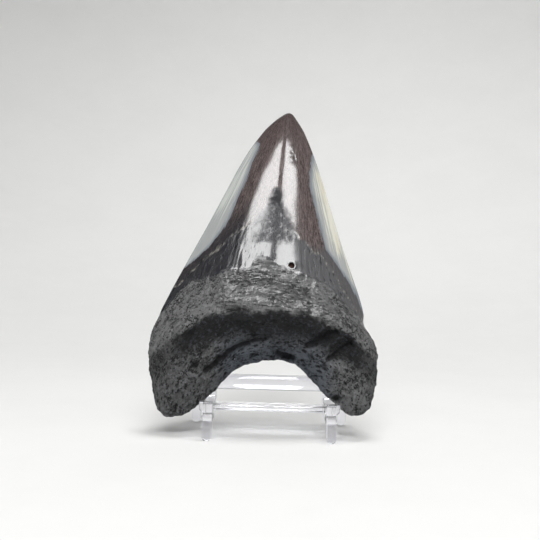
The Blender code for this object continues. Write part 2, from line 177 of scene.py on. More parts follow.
# ------------------------------------------------------------------ shader building
class Graph:
    """Adds and links the nodes of one tree."""

    def __init__(self, tree: bpy.types.NodeTree) -> None:
        """Keeps the tree that the nodes go into."""
        self.tree = tree

    def add(self, kind: str, inputs: dict[str | int, Value] | None = None,
            **settings: object) -> bpy.types.Node:
        """Adds a node.

        Args:
            kind: Blender's name for the node, without its ShaderNode prefix.
            inputs: A value or another node's output for each named or numbered input.
            settings: The node's own properties.

        Returns:
            The new node.
        """
        node = self.tree.nodes.new("ShaderNode" + kind)
        for name, setting in settings.items():
            setattr(node, name, setting)
        for name, value in (inputs or {}).items():
            if isinstance(value, Socket):
                self.tree.links.new(value, node.inputs[name])
            else:
                node.inputs[name].default_value = value
        return node

    def attribute(self, name: str) -> Socket:
        """A number painted on the mesh's points."""
        return self.add("Attribute", attribute_name=name).outputs["Fac"]

    def direction(self, name: str) -> Socket:
        """Three numbers painted on the mesh's points."""
        return self.add("Attribute", attribute_name=name).outputs["Vector"]

    def own_place(self, scale: Triple = (1, 1, 1)) -> Socket:
        """The place on the object, stretched."""
        return self.stretch(self.add("TexCoord").outputs["Object"], scale)

    def stretch(self, place: Socket, scale: Triple) -> Socket:
        """A place, stretched."""
        return self.add("Mapping", {"Vector": place, "Scale": scale}).outputs["Vector"]

    def noise(self, place: Socket, scale: Value, detail: float = 3.0, roughness: float = 0.55) -> Socket:
        """Cloudy noise from 0 to 1."""
        inputs = {"Vector": place, "Scale": scale, "Detail": detail, "Roughness": roughness}
        return self.add("TexNoise", inputs).outputs["Fac"]

    def cells(self, place: Socket, scale: float) -> Socket:
        """Distance from scattered dots."""
        return self.add("TexVoronoi", {"Vector": place, "Scale": scale}).outputs["Distance"]

    def span(self, value: Value, low: float, high: float, start: float = 0.0, end: float = 1.0) -> Socket:
        """Carries a value smoothly from one span to another."""
        inputs = {"Value": value, "From Min": low, "From Max": high, "To Min": start, "To Max": end}
        return self.add("MapRange", inputs, interpolation_type="SMOOTHSTEP").outputs["Result"]

    def calc(self, operation: str, first: Value, second: Value = 0.0, third: Value = 0.0) -> Socket:
        """Arithmetic on up to three numbers."""
        node = self.add("Math", {0: first, 1: second, 2: third}, operation=operation)
        return node.outputs["Value"]

    def times(self, first: Value, *others: Value) -> Socket:
        """The product of all the numbers."""
        for other in others:
            first = self.calc("MULTIPLY", first, other)
        return first

    def off_middle(self, value: Value) -> Socket:
        """How far a number is from a half."""
        return self.calc("ABSOLUTE", self.calc("SUBTRACT", value, 0.5))

    def blend(self, share: Value, first: Value, second: Value) -> Socket:
        """A number between two."""
        node = self.add("Mix", {0: share, 2: first, 3: second}, data_type="FLOAT")
        return node.outputs[0]

    def tint(self, share: Value, first: Value, second: Value) -> Socket:
        """A colour between two, each a socket or three numbers.

        Args:
            share: 0 for the first colour and 1 for the second.
            first: One colour.
            second: The other.

        Returns:
            The colour.
        """
        first, second = (v if isinstance(v, Socket) else (*v, 1.0) for v in (first, second))
        node = self.add("Mix", {0: share, 6: first, 7: second}, data_type="RGBA")
        return node.outputs[2]

    def bump(self, height: Value, distance: float) -> Socket:
        """A normal bent by a height in metres times the distance."""
        return self.add("Bump", {"Height": height, "Distance": distance, "Strength": 1.0}).outputs["Normal"]

    def effect(self, group: bpy.types.NodeTree, inputs: dict[str, Value]) -> Sockets:
        """Places a shared effect and gives its outputs by name."""
        return dict(self.add("Group", inputs, node_tree=group).outputs.items())

    def give(self, target: bpy.types.Node, values: Sockets) -> None:
        """Links each number or colour to the input of that name."""
        for name, value in values.items():
            self.tree.links.new(value, target.inputs[name])


def new_group(name: str, inputs: dict[str, tuple[str, float]], outputs: Sequence[str]
              ) -> tuple[Graph, bpy.types.Node, bpy.types.Node]:
    """An empty node group with its sockets.

    Args:
        name: The group's name.
        inputs: For each input, its kind ("Float" or "Vector") and its value when nothing is linked.
        outputs: Names of the number outputs.

    Returns:
        The group's graph, its input node and its output node.
    """
    tree = bpy.data.node_groups.new(name, "ShaderNodeTree")
    for label, (kind, value) in inputs.items():
        socket = tree.interface.new_socket(label, in_out="INPUT", socket_type="NodeSocket" + kind)
        if kind == "Float":
            socket.default_value = value
    for label in outputs:
        tree.interface.new_socket(label, in_out="OUTPUT", socket_type="NodeSocketFloat")
    return Graph(tree), tree.nodes.new("NodeGroupInput"), tree.nodes.new("NodeGroupOutput")


class Effects:
    """The effects that more than one material uses, each built once."""

    def __init__(self) -> None:
        """Builds the groups."""
        self.mottle = self.build_mottle()
        self.scratches = self.build_scratches()
        self.weathering = self.build_weathering()

    def build_mottle(self) -> bpy.types.NodeTree:
        """Uneven patches with finer specks in them.

        Returns:
            The group, which puts out Share, from 0 to 1.
        """
        inputs = {"Place": ("Vector", 0.0), "Scale": ("Float", 200.0), "Speck": ("Float", 0.3)}
        graph, taken, given = new_group("mottle", inputs, ["Share"])
        place, scale = taken.outputs["Place"], taken.outputs["Scale"]
        broad = graph.add("TexNoise", {"Vector": place, "Scale": scale, "Detail": 4.0}).outputs["Fac"]
        close = graph.times(scale, 5.3)
        fine = graph.add("TexNoise", {"Vector": place, "Scale": close, "Detail": 2.0}).outputs["Fac"]
        both = graph.blend(taken.outputs["Speck"], broad, fine)
        graph.give(given, {"Share": graph.span(both, 0.36, 0.66)})
        return graph.tree

    def build_weathering(self) -> bpy.types.NodeTree:
        """Weathered stone, with lumps broken by pits and cracks.

        Returns:
            The group, which puts out Height, and Hollow, which is 1 inside pits and cracks.
        """
        inputs = {"Place": ("Vector", 0.0), "Scale": ("Float", 700.0)}
        graph, taken, given = new_group("weathering", inputs, ["Height", "Hollow"])
        scaled = graph.add("VectorMath", {0: taken.outputs["Place"], "Scale": taken.outputs["Scale"]},
                           operation="SCALE").outputs["Vector"]
        lumps = graph.noise(scaled, 1.0, 4.0, 0.72)
        creases = graph.off_middle(graph.noise(scaled, 0.5, 3.0, 0.65))
        crack = graph.span(creases, 0.004, 0.05, 1.0, 0.0)
        crack = graph.times(crack, graph.span(graph.noise(scaled, 0.21, 2.0), 0.44, 0.58))
        pit = graph.span(graph.cells(scaled, 0.75), 0.14, 0.30, 1.0, 0.0)
        hollow = graph.calc("MAXIMUM", crack, graph.times(pit, 0.8))
        graph.give(given, {"Height": graph.calc("MULTIPLY_ADD", hollow, -0.45, lumps), "Hollow": hollow})
        return graph.tree

    def build_scratches(self) -> bpy.types.NodeTree:
        """Hair-fine lines in several directions.

        Returns:
            The group, which puts out Lines: 1 on a line and 0 off it.
        """
        inputs = {"Place": ("Vector", 0.0), "Scale": ("Float", 300.0)}
        graph, taken, given = new_group("scratches", inputs, ["Lines"])
        lines = None
        for turn in (0.35, 1.25, 2.3):
            settings = {"Vector": taken.outputs["Place"], "Rotation": (turn, turn * 0.6, turn),
                        "Scale": (1.0, 0.06, 0.06)}
            turned = graph.add("Mapping", settings).outputs["Vector"]
            settings = {"Vector": turned, "Scale": taken.outputs["Scale"], "Detail": 1.0}
            raw = graph.add("TexNoise", settings).outputs["Fac"]
            thin = graph.span(graph.off_middle(raw), 0.0, 0.012, 1.0, 0.0)
            gaps = graph.span(graph.noise(turned, 60.0, 1.0), 0.52, 0.6)
            line = graph.times(thin, gaps)
            lines = line if lines is None else graph.calc("MAXIMUM", lines, line)
        graph.give(given, {"Lines": lines})
        return graph.tree


def new_material(name: str, constants: dict[str, float]
                 ) -> tuple[bpy.types.Material, Graph, bpy.types.Node]:
    """A new material.

    Args:
        name: Its name.
        constants: Values for its shader's inputs, by name.

    Returns:
        The material, its graph and its Principled BSDF.
    """
    material = bpy.data.materials.new(name)
    material.use_nodes = True
    shader = material.node_tree.nodes["Principled BSDF"]
    for label, value in constants.items():
        shader.inputs[label].default_value = value
    return material, Graph(material.node_tree), shader


# ------------------------------------------------------------------ finishes
@dataclass(frozen=True)
class Grain:
    """Noise drawn out along the crown's growth."""

    stretch: Triple
    scale: float
    detail: float = 3.0
    roughness: float = 0.6

    def lay(self, graph: Graph, growth: Socket) -> Socket:
        """The noise, from 0 to 1."""
        return graph.noise(graph.stretch(growth, self.stretch), self.scale, self.detail, self.roughness)


@dataclass(frozen=True)
class FossilFinish:
    """Blackened fossil: polished enamel over a rough root."""

    root_dark: Colour = (0.060, 0.060, 0.061)
    root_pale: Colour = (0.195, 0.196, 0.198)
    # The next two colours are the near-black painted shade under the turn and the painted sheen on its raised
    # grains.
    root_shade: Colour = (0.0015, 0.0015, 0.002)
    root_sheen: Colour = (0.042, 0.049, 0.062)
    root_cool: Colour = (0.070, 0.084, 0.104)
    enamel_dark: Colour = (0.018, 0.012, 0.012)
    enamel_red: Colour = (0.172, 0.134, 0.129)
    neck: Colour = (0.011, 0.011, 0.015)
    neck_pale: Colour = (0.075, 0.075, 0.079)
    patch: Colour = (0.022, 0.022, 0.025)
    patch_pale: Colour = (0.105, 0.105, 0.110)
    cream: Colour = (0.60, 0.59, 0.515)
    slate: Colour = (0.31, 0.322, 0.318)
    milk: Colour = (0.47, 0.485, 0.46)
    ochre: Colour = (0.52, 0.465, 0.32)
    rust: Colour = (0.045, 0.018, 0.012)
    # Near-black for painted shade in hollows, pores and under the turn, and for the neck's dark cut lines.
    deep: Colour = (0.002, 0.002, 0.003)
    # Pale specks along the neck's border: partly the enamel's ragged edge, partly painted glints.
    glint_speck: Colour = (0.26, 0.25, 0.22)
    fringe: Colour = (0.17, 0.19, 0.215)
    edge_line: Colour = (0.045, 0.050, 0.060)
    dash_grain: Grain = Grain((1.0, 0.20, 1.0), 1.25)
    streak_grain: Grain = Grain((1.0, 0.07, 1.0), 1.7, 4.0, 0.7)
    root_grain: Grain = Grain((1.0, 0.25, 1.0), 1.9)
    red_grain: Grain = Grain((1.0, 0.22, 1.0), 2.4, 3.0, 0.8)
    ochre_grain: Grain = Grain((0.55, 0.085, 1.0), 0.7)
    light_grain: Grain = Grain((1.3, 0.05, 1.0), 0.8)
    border_grain: Grain = Grain((1.2, 0.10, 1.0), 1.3, 4.0, 0.7)
    wave_grain: Grain = Grain((1.0, 0.12, 1.0), 1.6, 2.0, 0.5)
    fold_stretch: Triple = (0.24, 0.7, 1.0)
    slot_stretch: Triple = (1.0, 0.42, 0.5)
    polished: Span = (0.16, 0.24)
    polished_neck: Span = (0.16, 0.26)
    rough_patch: Span = (0.75, 0.95)
    dry_bone: Span = (0.40, 0.62)
    waxy_band: Span = (0.22, 0.36)
    dark_bone: float = 0.55
    relief: float = 0.16 * MM
    ior: float = 1.27
    coat_ior: float = 1.5
    coat_roughness: float = 0.12

    def build(self, effects: Effects) -> bpy.types.Material:
        """Builds the material from the masks painted on the tooth.

        Args:
            effects: The shared effects.

        Returns:
            The material.
        """
        constants = {"IOR": self.ior, "Coat IOR": self.coat_ior, "Coat Roughness": self.coat_roughness}
        material, graph, shader = new_material("fossil_tooth", constants)
        masks = {name: graph.attribute(name) for name in TOOTH_MASKS}
        detail = self.detail(graph, effects, masks)
        graph.give(shader, {
            "Base Color": self.colour(graph, detail, masks),
            "Roughness": self.roughness(graph, detail, masks),
            "Normal": self.normal(graph, detail, masks),
            "Coat Weight": self.enamel_coat(graph, detail, masks),
        })
        return material

    def detail(self, graph: Graph, effects: Effects, masks: Sockets) -> Sockets:
        """The fine patterns that colour, polish and relief share.

        Args:
            graph: The material's graph.
            effects: The shared effects.
            masks: The painted masks.

        Returns:
            Places and numbers by name.
        """
        place, growth = graph.own_place(), graph.direction("growth")
        stone = graph.effect(effects.weathering, {"Place": place, "Scale": 900.0})
        folded = graph.stretch(place, self.fold_stretch)
        folds = graph.effect(effects.weathering, {"Place": folded, "Scale": 1250.0})
        slots = self.slots(graph, masks)
        hollow = graph.blend(masks["wrinkle"], stone["Hollow"], folds["Hollow"])
        dashes = self.dash_grain.lay(graph, growth)
        return {
            "place": place,
            "growth": growth,
            "height": graph.blend(masks["wrinkle"], stone["Height"], folds["Height"]),
            "hollow": graph.calc("MAXIMUM", hollow, slots),
            "slots": slots,
            "dashes": graph.times(graph.span(dashes, 0.50, 0.62), masks["striae"]),
            "cuts": graph.times(graph.span(dashes, 0.57, 0.66), graph.span(masks["striae"], 0.0, 0.3)),
            "streaks": self.streak_grain.lay(graph, growth),
            "fine": graph.noise(place, 900.0, 3.0, 0.6),
            "patches": graph.effect(effects.mottle, {"Place": place, "Scale": 260.0, "Speck": 0.5})["Share"],
            "scuffs": graph.effect(effects.scratches, {"Place": place, "Scale": 420.0})["Lines"],
            "scratched": graph.effect(effects.scratches, {"Place": place, "Scale": 260.0})["Lines"],
        }

    def slots(self, graph: Graph, masks: Sockets) -> Socket:
        """Long pores that run round the arch.

        Args:
            graph: The material's graph.
            masks: The painted masks.

        Returns:
            1 inside a pore and 0 outside.
        """
        ringed = graph.direction("ringed")
        away = graph.cells(graph.stretch(ringed, self.slot_stretch), 1.05)
        return graph.times(graph.span(away, 0.20, 0.36, 1.0, 0.0),
                           graph.span(graph.noise(ringed, 0.25), 0.38, 0.50),
                           graph.span(masks["wrinkle"], 0.0, 0.6, 1.0, 0.0),
                           graph.span(masks["painted_shading"], 0.8, 1.0, 1.0, 0.35))

    def root_colour(self, graph: Graph, detail: Sockets, masks: Sockets) -> Socket:
        """Colour of the root: grey stone, with painted shade under the turn and in every hollow.

        Args:
            graph: The material's graph.
            detail: The fine patterns.
            masks: The painted masks.

        Returns:
            The colour.
        """
        raised = graph.span(detail["height"], 0.36, 0.62)
        grown = graph.span(self.root_grain.lay(graph, detail["growth"]), 0.35, 0.65)
        grown = graph.blend(0.35, grown, detail["patches"])
        root = graph.tint(graph.blend(0.45, grown, raised), self.root_dark, self.root_pale)
        # Painted shade under the turn and over the lower lobes: near-black with a painted sheen on raised
        # grains, laid in where the shading mask is low.
        under = graph.tint(graph.span(detail["height"], 0.50, 0.62), self.root_shade, self.root_sheen)
        root = graph.tint(masks["painted_shading"], under, root)
        root = graph.tint(graph.times(masks["cool"], 0.75), root, self.root_cool)
        # Painted shade in pits, cracks and pores, weaker in the crumpled band.
        depth = graph.blend(masks["wrinkle"], 0.9, 0.6)
        return graph.tint(graph.times(detail["hollow"], depth), root, self.deep)

    def pale_colour(self, graph: Graph, growth: Socket, edge: Socket, masks: Sockets) -> Socket:
        """Colour of the pale edges: milk on the left, cream and ochre on the right.

        Args:
            graph: The material's graph.
            growth: The growth coordinates.
            edge: How far inside the pale edge each place is.
            masks: The painted masks.

        Returns:
            The colour.
        """
        warm = graph.span(self.ochre_grain.lay(graph, growth), 0.52, 0.68, 0.0, 0.6)
        cream = graph.tint(graph.times(warm, masks["right"]), self.cream, self.ochre)
        cream = graph.tint(masks["right"], self.milk, cream)
        light = graph.span(self.light_grain.lay(graph, growth), 0.36, 0.64, -0.30, 0.42)
        light = graph.calc("ADD", masks["bright"], light)
        pale = graph.tint(graph.span(light, 0.15, 0.85), self.slate, cream)
        return graph.tint(graph.span(edge, 0.55, 1.0, 0.9, 0.0), pale, self.fringe)

    def colour(self, graph: Graph, detail: Sockets, masks: Sockets) -> Socket:
        """Colour of every zone, laid over one another.

        Args:
            graph: The material's graph.
            detail: The fine patterns.
            masks: The painted masks.

        Returns:
            The colour.
        """
        growth = detail["growth"]
        grain = graph.span(self.red_grain.lay(graph, growth), 0.40, 0.62)
        red = graph.blend(0.55, graph.span(detail["streaks"], 0.42, 0.60), grain)
        red = graph.times(red, graph.span(masks["right"], 0.0, 1.0, 0.78, 1.0))
        enamel = graph.tint(red, self.enamel_dark, self.enamel_red)
        neck = graph.tint(masks["right"], self.neck, self.neck_pale)
        # Painted shade above the neck on the left, and the neck's dark colour carried up on the right.
        enamel = graph.tint(graph.times(masks["shade_and_neck_tint"], 0.85), enamel, neck)
        ragged = graph.span(self.border_grain.lay(graph, growth), 0.2, 0.8, -0.22, 0.22)
        edge = graph.calc("ADD", masks["pale"], ragged)
        pale = self.pale_colour(graph, growth, edge, masks)
        enamel = graph.tint(graph.span(edge, 0.30, 0.46), enamel, pale)
        enamel = graph.tint(graph.times(masks["rim"], 0.85), enamel, self.edge_line)
        # Darker and lighter blotches across the rough patch.
        blotches = graph.span(graph.noise(detail["place"], 300.0, 5.0, 0.72), 0.46, 0.66)
        patch = graph.tint(blotches, self.patch, self.patch_pale)
        colour = graph.tint(masks["patch"], enamel, patch)
        root = self.root_colour(graph, detail, masks)
        for share, layer in ((masks["neck"], neck), (graph.times(detail["cuts"], 0.6), self.deep),
                             # the root, then pale specks that are partly painted glints
                             (masks["root"], root), (masks["glint_speck"], self.glint_speck),
                             (graph.times(masks["chips"], 0.7), self.patch),
                             # painted shade in hollows and under the turn, then the small hole
                             (graph.times(masks["hollow_shade"], 0.85), self.deep), (masks["hole"], self.rust)):
            colour = graph.tint(share, colour, layer)
        return colour

    def enamel_coat(self, graph: Graph, detail: Sockets, masks: Sockets) -> Socket:
        """How much of the polish is left: whole on the enamel, worn on the patch, little on bone.

        Args:
            graph: The material's graph.
            detail: The fine patterns.
            masks: The painted masks.

        Returns:
            A share from 0 to 1.
        """
        worn = graph.span(graph.noise(detail["place"], 620.0, 4.0, 0.75), 0.52, 0.62, 0.0, 0.45)
        coat = graph.blend(graph.calc("MAXIMUM", masks["patch"], masks["chips"]), 1.0, worn)
        coat = graph.times(coat, graph.span(detail["cuts"], 0.0, 1.0, 1.0, 0.25))
        glints = graph.span(graph.noise(detail["place"], 700.0, 3.0, 0.7), 0.42, 0.62, 0.15, 0.55)
        glints = graph.times(glints, graph.span(detail["hollow"], 0.0, 1.0, 1.0, 0.0))
        coat = graph.blend(masks["root"], coat, graph.times(glints, masks["wrinkle"]))
        coat = graph.blend(masks["hole"], coat, 0.0)
        return graph.blend(masks["glint_speck"], coat, 0.2)

    def roughness(self, graph: Graph, detail: Sockets, masks: Sockets) -> Socket:
        """Polished on the crown, dull on the root.

        Args:
            graph: The material's graph.
            detail: The fine patterns.
            masks: The painted masks.

        Returns:
            The roughness.
        """
        fine = detail["fine"]
        polish = graph.span(detail["streaks"], 0.3, 0.7, *self.polished)
        polish = graph.calc("MULTIPLY_ADD", detail["scuffs"], 0.12, polish)
        worn = graph.calc("MAXIMUM", masks["patch"], masks["chips"])
        rough = graph.blend(worn, polish, graph.span(fine, 0.35, 0.65, *self.rough_patch))
        rough = graph.blend(masks["neck"], rough, graph.span(fine, 0.3, 0.7, *self.polished_neck))
        bone = graph.blend(masks["painted_shading"], self.dark_bone, graph.span(fine, 0.3, 0.7, *self.dry_bone))
        bone = graph.blend(masks["wrinkle"], bone, graph.span(fine, 0.3, 0.7, *self.waxy_band))
        for share, layer in ((masks["root"], bone), (masks["hollow_shade"], 0.75), (masks["hole"], 0.8)):
            rough = graph.blend(share, rough, layer)
        return rough

    def normal(self, graph: Graph, detail: Sockets, masks: Sockets) -> Socket:
        """Fine relief that the mesh is too coarse for.

        Args:
            graph: The material's graph.
            detail: The fine patterns.
            masks: The painted masks.

        Returns:
            The bent normal.
        """
        bone = graph.calc("MULTIPLY_ADD", detail["slots"], -0.22, detail["height"])
        bone = graph.times(bone, masks["root"], 6.0)
        dents = graph.noise(detail["place"], 800.0, 3.0, 0.7)
        dents = graph.calc("MULTIPLY_ADD", detail["scratched"], -0.6, dents)
        dents = graph.times(dents, masks["patch"])
        wave = self.wave_grain.lay(graph, detail["growth"])
        height = graph.calc("MULTIPLY_ADD", detail["dashes"], -0.42, bone)
        height = graph.calc("MULTIPLY_ADD", dents, 0.9, height)
        height = graph.calc("MULTIPLY_ADD", wave, 0.012, height)
        return graph.bump(height, self.relief)


@dataclass(frozen=True)
class AcrylicFinish:
    """Clear moulded plastic with the faintest violet cast."""

    clear: Colour = (0.968, 0.966, 1.0)
    hazy: Colour = (0.93, 0.93, 0.975)
    ior: float = 1.49
    smooth: Span = (0.045, 0.085)
    scratched: float = 0.12
    flow_stretch: Triple = (1.0, 1.0, 0.4)
    relief: float = 0.035 * MM

    def build(self, effects: Effects) -> bpy.types.Material:
        """Builds the material.

        Args:
            effects: The shared effects.

        Returns:
            The material.
        """
        constants = {"IOR": self.ior, "Transmission Weight": 1.0, "Specular IOR Level": 0.5}
        material, graph, shader = new_material("clear_acrylic", constants)
        place = graph.own_place()
        haze = graph.effect(effects.mottle, {"Place": place, "Scale": 90.0, "Speck": 0.2})["Share"]
        lines = graph.effect(effects.scratches, {"Place": place, "Scale": 220.0})["Lines"]
        smooth = graph.span(haze, 0.0, 1.0, *self.smooth)
        flow = graph.noise(graph.own_place(self.flow_stretch), 160.0, 2.0, 0.5)
        graph.give(shader, {
            "Base Color": graph.tint(haze, self.clear, self.hazy),
            "Roughness": graph.calc("MULTIPLY_ADD", lines, self.scratched, smooth),
            "Normal": graph.bump(graph.calc("MULTIPLY_ADD", lines, -0.05, flow), self.relief),
        })
        return material


@dataclass(frozen=True)
class FloorFinish:
    """Pale matt paper of a studio sweep."""

    pale: Colour = (0.80, 0.80, 0.792)
    shade: Colour = (0.785, 0.785, 0.777)
    matt: Span = (0.80, 0.90)

    def build(self, effects: Effects) -> bpy.types.Material:
        """Builds the material.

        Args:
            effects: The shared effects.

        Returns:
            The material.
        """
        material, graph, shader = new_material("pale_sweep", {"Specular IOR Level": 0.2})
        place = graph.own_place()
        patches = graph.effect(effects.mottle, {"Place": place, "Scale": 14.0, "Speck": 0.25})["Share"]
        graph.give(shader, {
            "Base Color": graph.tint(patches, self.pale, self.shade),
            "Roughness": graph.span(graph.noise(place, 700.0), 0.3, 0.7, *self.matt),
        })
        return material


# ------------------------------------------------------------------ the tooth
TOOTH_MASKS = ("rim", "root", "neck", "pale", "bright", "shade_and_neck_tint", "patch", "chips", "wrinkle", "striae",
               "glint_speck", "hollow_shade", "hole", "painted_shading", "cool", "right")
TOOTH_PLACES = ("growth", "ringed")


@dataclass(frozen=True)
class ToothSeat:
    """The tooth's own frame: X across, Z up its slant, and the display face towards -Y."""

    origin: Triple = (2.57 * MM, -11.1 * MM, 8.15 * MM)
    lean: float = math.radians(14)

    def matrix(self) -> Matrix:
        """From the tooth's frame to the row frame."""
        return Matrix.Translation(self.origin) @ Matrix.Rotation(-self.lean, 4, "X")

    def own_points(self, mesh: bpy.types.Mesh) -> np.ndarray:
        """The mesh's points.

        Args:
            mesh: The tooth's mesh.

        Returns:
            Rows of three coordinates in millimetres of the tooth's frame.
        """
        flat = np.empty(len(mesh.vertices) * 3)
        mesh.vertices.foreach_get("co", flat)
        turn = np.array(self.matrix().inverted())
        return (flat.reshape(-1, 3) @ turn[:3, :3].T + turn[:3, 3]) / MM

    def own_normals(self, mesh: bpy.types.Mesh) -> np.ndarray:
        """The mesh's point normals in the tooth's frame."""
        flat = np.array([n.vector for n in mesh.vertex_normals])
        return flat @ np.array(self.matrix().inverted())[:3, :3].T

    def place(self, mesh: bpy.types.Mesh, points: np.ndarray) -> None:
        """Gives the mesh new points.

        Args:
            mesh: The tooth's mesh.
            points: Rows of three coordinates in millimetres of the tooth's frame.
        """
        turn = np.array(self.matrix())
        mesh.vertices.foreach_set("co", (points * MM @ turn[:3, :3].T + turn[:3, 3]).ravel())
        mesh.update()


@dataclass(frozen=True)
class Zones:
    """Where the kinds of surface lie on the tooth's faces.

    The lines are pairs of (across, up) in millimetres. pale_left, pale_right, patch_reach, middle_line and
    half_widths give a width or a place across for each height, as (up, across).
    """

    root_front: Points = ((-46, 30), (-40, 40), (-33, 47), (-24, 50.5), (-18, 51.5), (-13.5, 52.0),
                          (-8.6, 53.2), (-5.6, 55.8), (-1.5, 56.0), (3, 53.8), (8, 51.8), (12.4, 51.6),
                          (18, 49.6), (25, 45), (31, 39), (36, 33), (42, 28))
    root_back: Points = ((-46, 38), (-24, 41), (0, 40), (24, 41), (42, 36))
    chevron: Points = ((-40, 46), (-28.9, 54.6), (-22.4, 61), (-14.5, 66.8), (-8.5, 72.5), (0.9, 79.5),
                       (5.5, 72.0), (10.3, 64.7), (17.9, 60.2), (23.6, 53.4), (30, 42), (38, 33))
    pale_left: Points = ((54, -35.5), (57.1, -30.8), (62.2, -24.9), (68.1, -20.1), (74.1, -16.5),
                         (80.5, -14.4), (86.9, -12.0), (93.2, -9.8), (97.7, -8.7), (100.9, -7.4),
                         (103.5, -6.4), (106.2, -6.1), (108.5, -8.0))
    pale_right: Points = ((34, 36.5), (40.6, 34.1), (46.4, 31.7), (52.1, 28.1), (57.6, 23.8), (63.1, 19.7),
                          (69.2, 18.0), (75.3, 16.5), (81.4, 14.9), (87.8, 13.6), (94.4, 13.2), (103.0, 14.2),
                          (105, 16))
    rough_patch: Points = ((1.1, 85.0), (0.4, 78.0), (0.9, 71.0), (0.6, 66.5))
    turn_under: Points = ((-46, 18), (-35.5, 26.5), (-22.2, 34.3), (-14.3, 36.8), (-5.1, 35.6), (2.7, 36.3),
                          (13.1, 35.4), (21.2, 32.5), (29.9, 28.0), (42, 18))
    patch_reach: Points = ((64.0, 6.6), (66.0, 6.8), (74.0, 4.6), (80.0, 2.4), (86.0, 0.4))
    patch_foot: Span = (62.6, 65.0)
    stem: Span = (0.9, 0.45)  # its middle across, and its half width
    chipped: Span = (7.0, 99.6)
    chipped_reach: Span = (2.1, 3.4)
    neck_behind: float = 7.0  # height of the dark neck on the back, over the root
    nowhere: float = 99.0  # far outside the blade, for heights that have no pale edge
    arch_centre: Span = (3.0, -7.0)
    foramen: Span = (7.1, 54.5)
    solid_hole: Span = (6.1, 54.6)
    middle_line: Points = ((0, -1.5), (60, 1.5), (120.4, 5.2))
    half_widths: Points = ((-5, 40), (25, 43), (36, 39.5), (60, 30), (83.5, 20.5), (95, 16.4), (103, 12.9),
                           (111, 8.9), (118, 4.2), (121, 3.0))


@dataclass(frozen=True)
class Furrow:
    """A cut along a bent line of the display face, or a welt where the depth is negative."""

    bends: Points
    half_width: float
    depth: float

    def cut(self, places: np.ndarray) -> np.ndarray:
        """How deep it is at each place."""
        away = away_from_line(places, self.bends)
        return self.depth * np.exp(-((away / self.half_width) ** 4))


@dataclass(frozen=True)
class Pit:
    """An oval hollow of the display face."""

    centre: Span
    radii: Span
    depth: float
    tilt: float = 0.0

    def cut(self, places: np.ndarray) -> np.ndarray:
        """How deep it is at each place.

        Args:
            places: Rows of across and up.

        Returns:
            One depth for each row.
        """
        along, aside = math.cos(self.tilt), math.sin(self.tilt)
        turn = np.array([[along, -aside], [aside, along]])
        away = (places - self.centre) @ turn / self.radii
        return self.depth * np.exp(-((away**2).sum(1) ** 1.5))


@dataclass(frozen=True)
class RootCarving:
    """The root's named marks, in the tooth's frame in millimetres."""

    furrows: tuple[Furrow, ...] = (
        Furrow(((-23.5, 14.9), (-20.8, 17.0), (-18.7, 18.9), (-16.9, 19.9)), 0.9, 1.1),
        Furrow(((-16.4, 20.9), (-13.3, 23.2), (-10.4, 24.6), (-7.9, 25.2)), 0.8, 0.9),
        Furrow(((-7.0, 26.0), (-1.8, 26.9)), 0.6, 0.6),
        Furrow(((13.4, 24.9), (18.5, 26.8), (23.6, 29.6)), 1.1, 1.0),
        Furrow(((21.4, 20.3), (25.6, 23.2), (29.2, 26.0)), 0.9, 0.9),
        Furrow(((12.9, 26.6), (17.0, 29.2), (21.6, 32.0)), 0.7, -0.5),
        Furrow(((19.6, 23.0), (24.6, 26.6), (28.6, 30.2)), 0.8, -0.5),
        Furrow(((2.6, 22.4), (8.4, 21.0)), 0.9, 0.9),
        Furrow(((-16.0, 36.6), (-12.6, 37.4), (-9.6, 36.6)), 0.7, 0.8),
        Furrow(((-13.0, 32.8), (-8.6, 33.2)), 0.9, -0.6),
        Furrow(((-12.0, 46.4), (-3.0, 48.0), (10.5, 46.4)), 0.7, 0.35),
        Furrow(((-14.0, 42.4), (-4.0, 43.2), (6.5, 41.8), (15.0, 42.4)), 0.6, 0.35),
    )
    pits: tuple[Pit, ...] = (
        Pit((6.1, 21.4), (2.0, 0.9), 0.9, -0.15),
        Pit((14.8, 20.9), (1.5, 0.7), 0.6, -0.5),
        Pit((19.6, 17.7), (1.3, 0.8), 0.7),
        Pit((24.2, 6.4), (1.8, 1.2), 0.9),
        Pit((-27.6, 16.7), (1.3, 1.1), 0.9),
        Pit((-29.4, 28.3), (1.1, 0.9), 0.6),
        Pit((13.0, 44.4), (1.6, 1.1), 0.7, 0.5),
        Pit((-1.0, 54.0), (2.6, 0.9), 0.45),
    )

    def cut(self, places: np.ndarray) -> np.ndarray:
        """How deep all of it is at each place."""
        return sum((mark.cut(places) for mark in (*self.furrows, *self.pits)), np.zeros(len(places)))


class Skin:
    """The tooth's surface point by point, with the soft noise that makes each border ragged."""

    def __init__(self, points: np.ndarray, normals: np.ndarray) -> None:
        """Works out what the masks share.

        Args:
            points: Rows of three coordinates in millimetres of the tooth's frame.
            normals: The points' normals.
        """
        self.points = points
        self.places = points[:, [0, 2]]
        self.across, self.up = self.places.T
        self.facing = np.abs(normals[:, 1])
        self.is_front = normals[:, 1] < 0
        self.ahead = smooth_step(-normals[:, 1], 0.0, 0.35)
        self.soft = fractal(points, 6.0, 3.1, 3)
        self.close = fractal(points, 1.7, 11.9, 2)

    def above(self, front: Points, back: Points) -> np.ndarray:
        """How far each point is above its own face's line."""
        return np.where(self.is_front, above_line(self.places, front), above_line(self.places, back))

    def away(self, place: Span) -> np.ndarray:
        """How far each point is from a place, seen from the front."""
        return np.linalg.norm(self.places - place, axis=1)

    def at_height(self, table: Points, outside: float | None = None) -> np.ndarray:
        """A table's value at each point's height, with a value of its own beyond the table's ends."""
        return np.interp(self.up, *np.array(table).T, left=outside, right=outside)

    def off_centre(self, middle: float) -> np.ndarray:
        """How far each point is to either side of a place across."""
        return np.abs(self.across - middle)


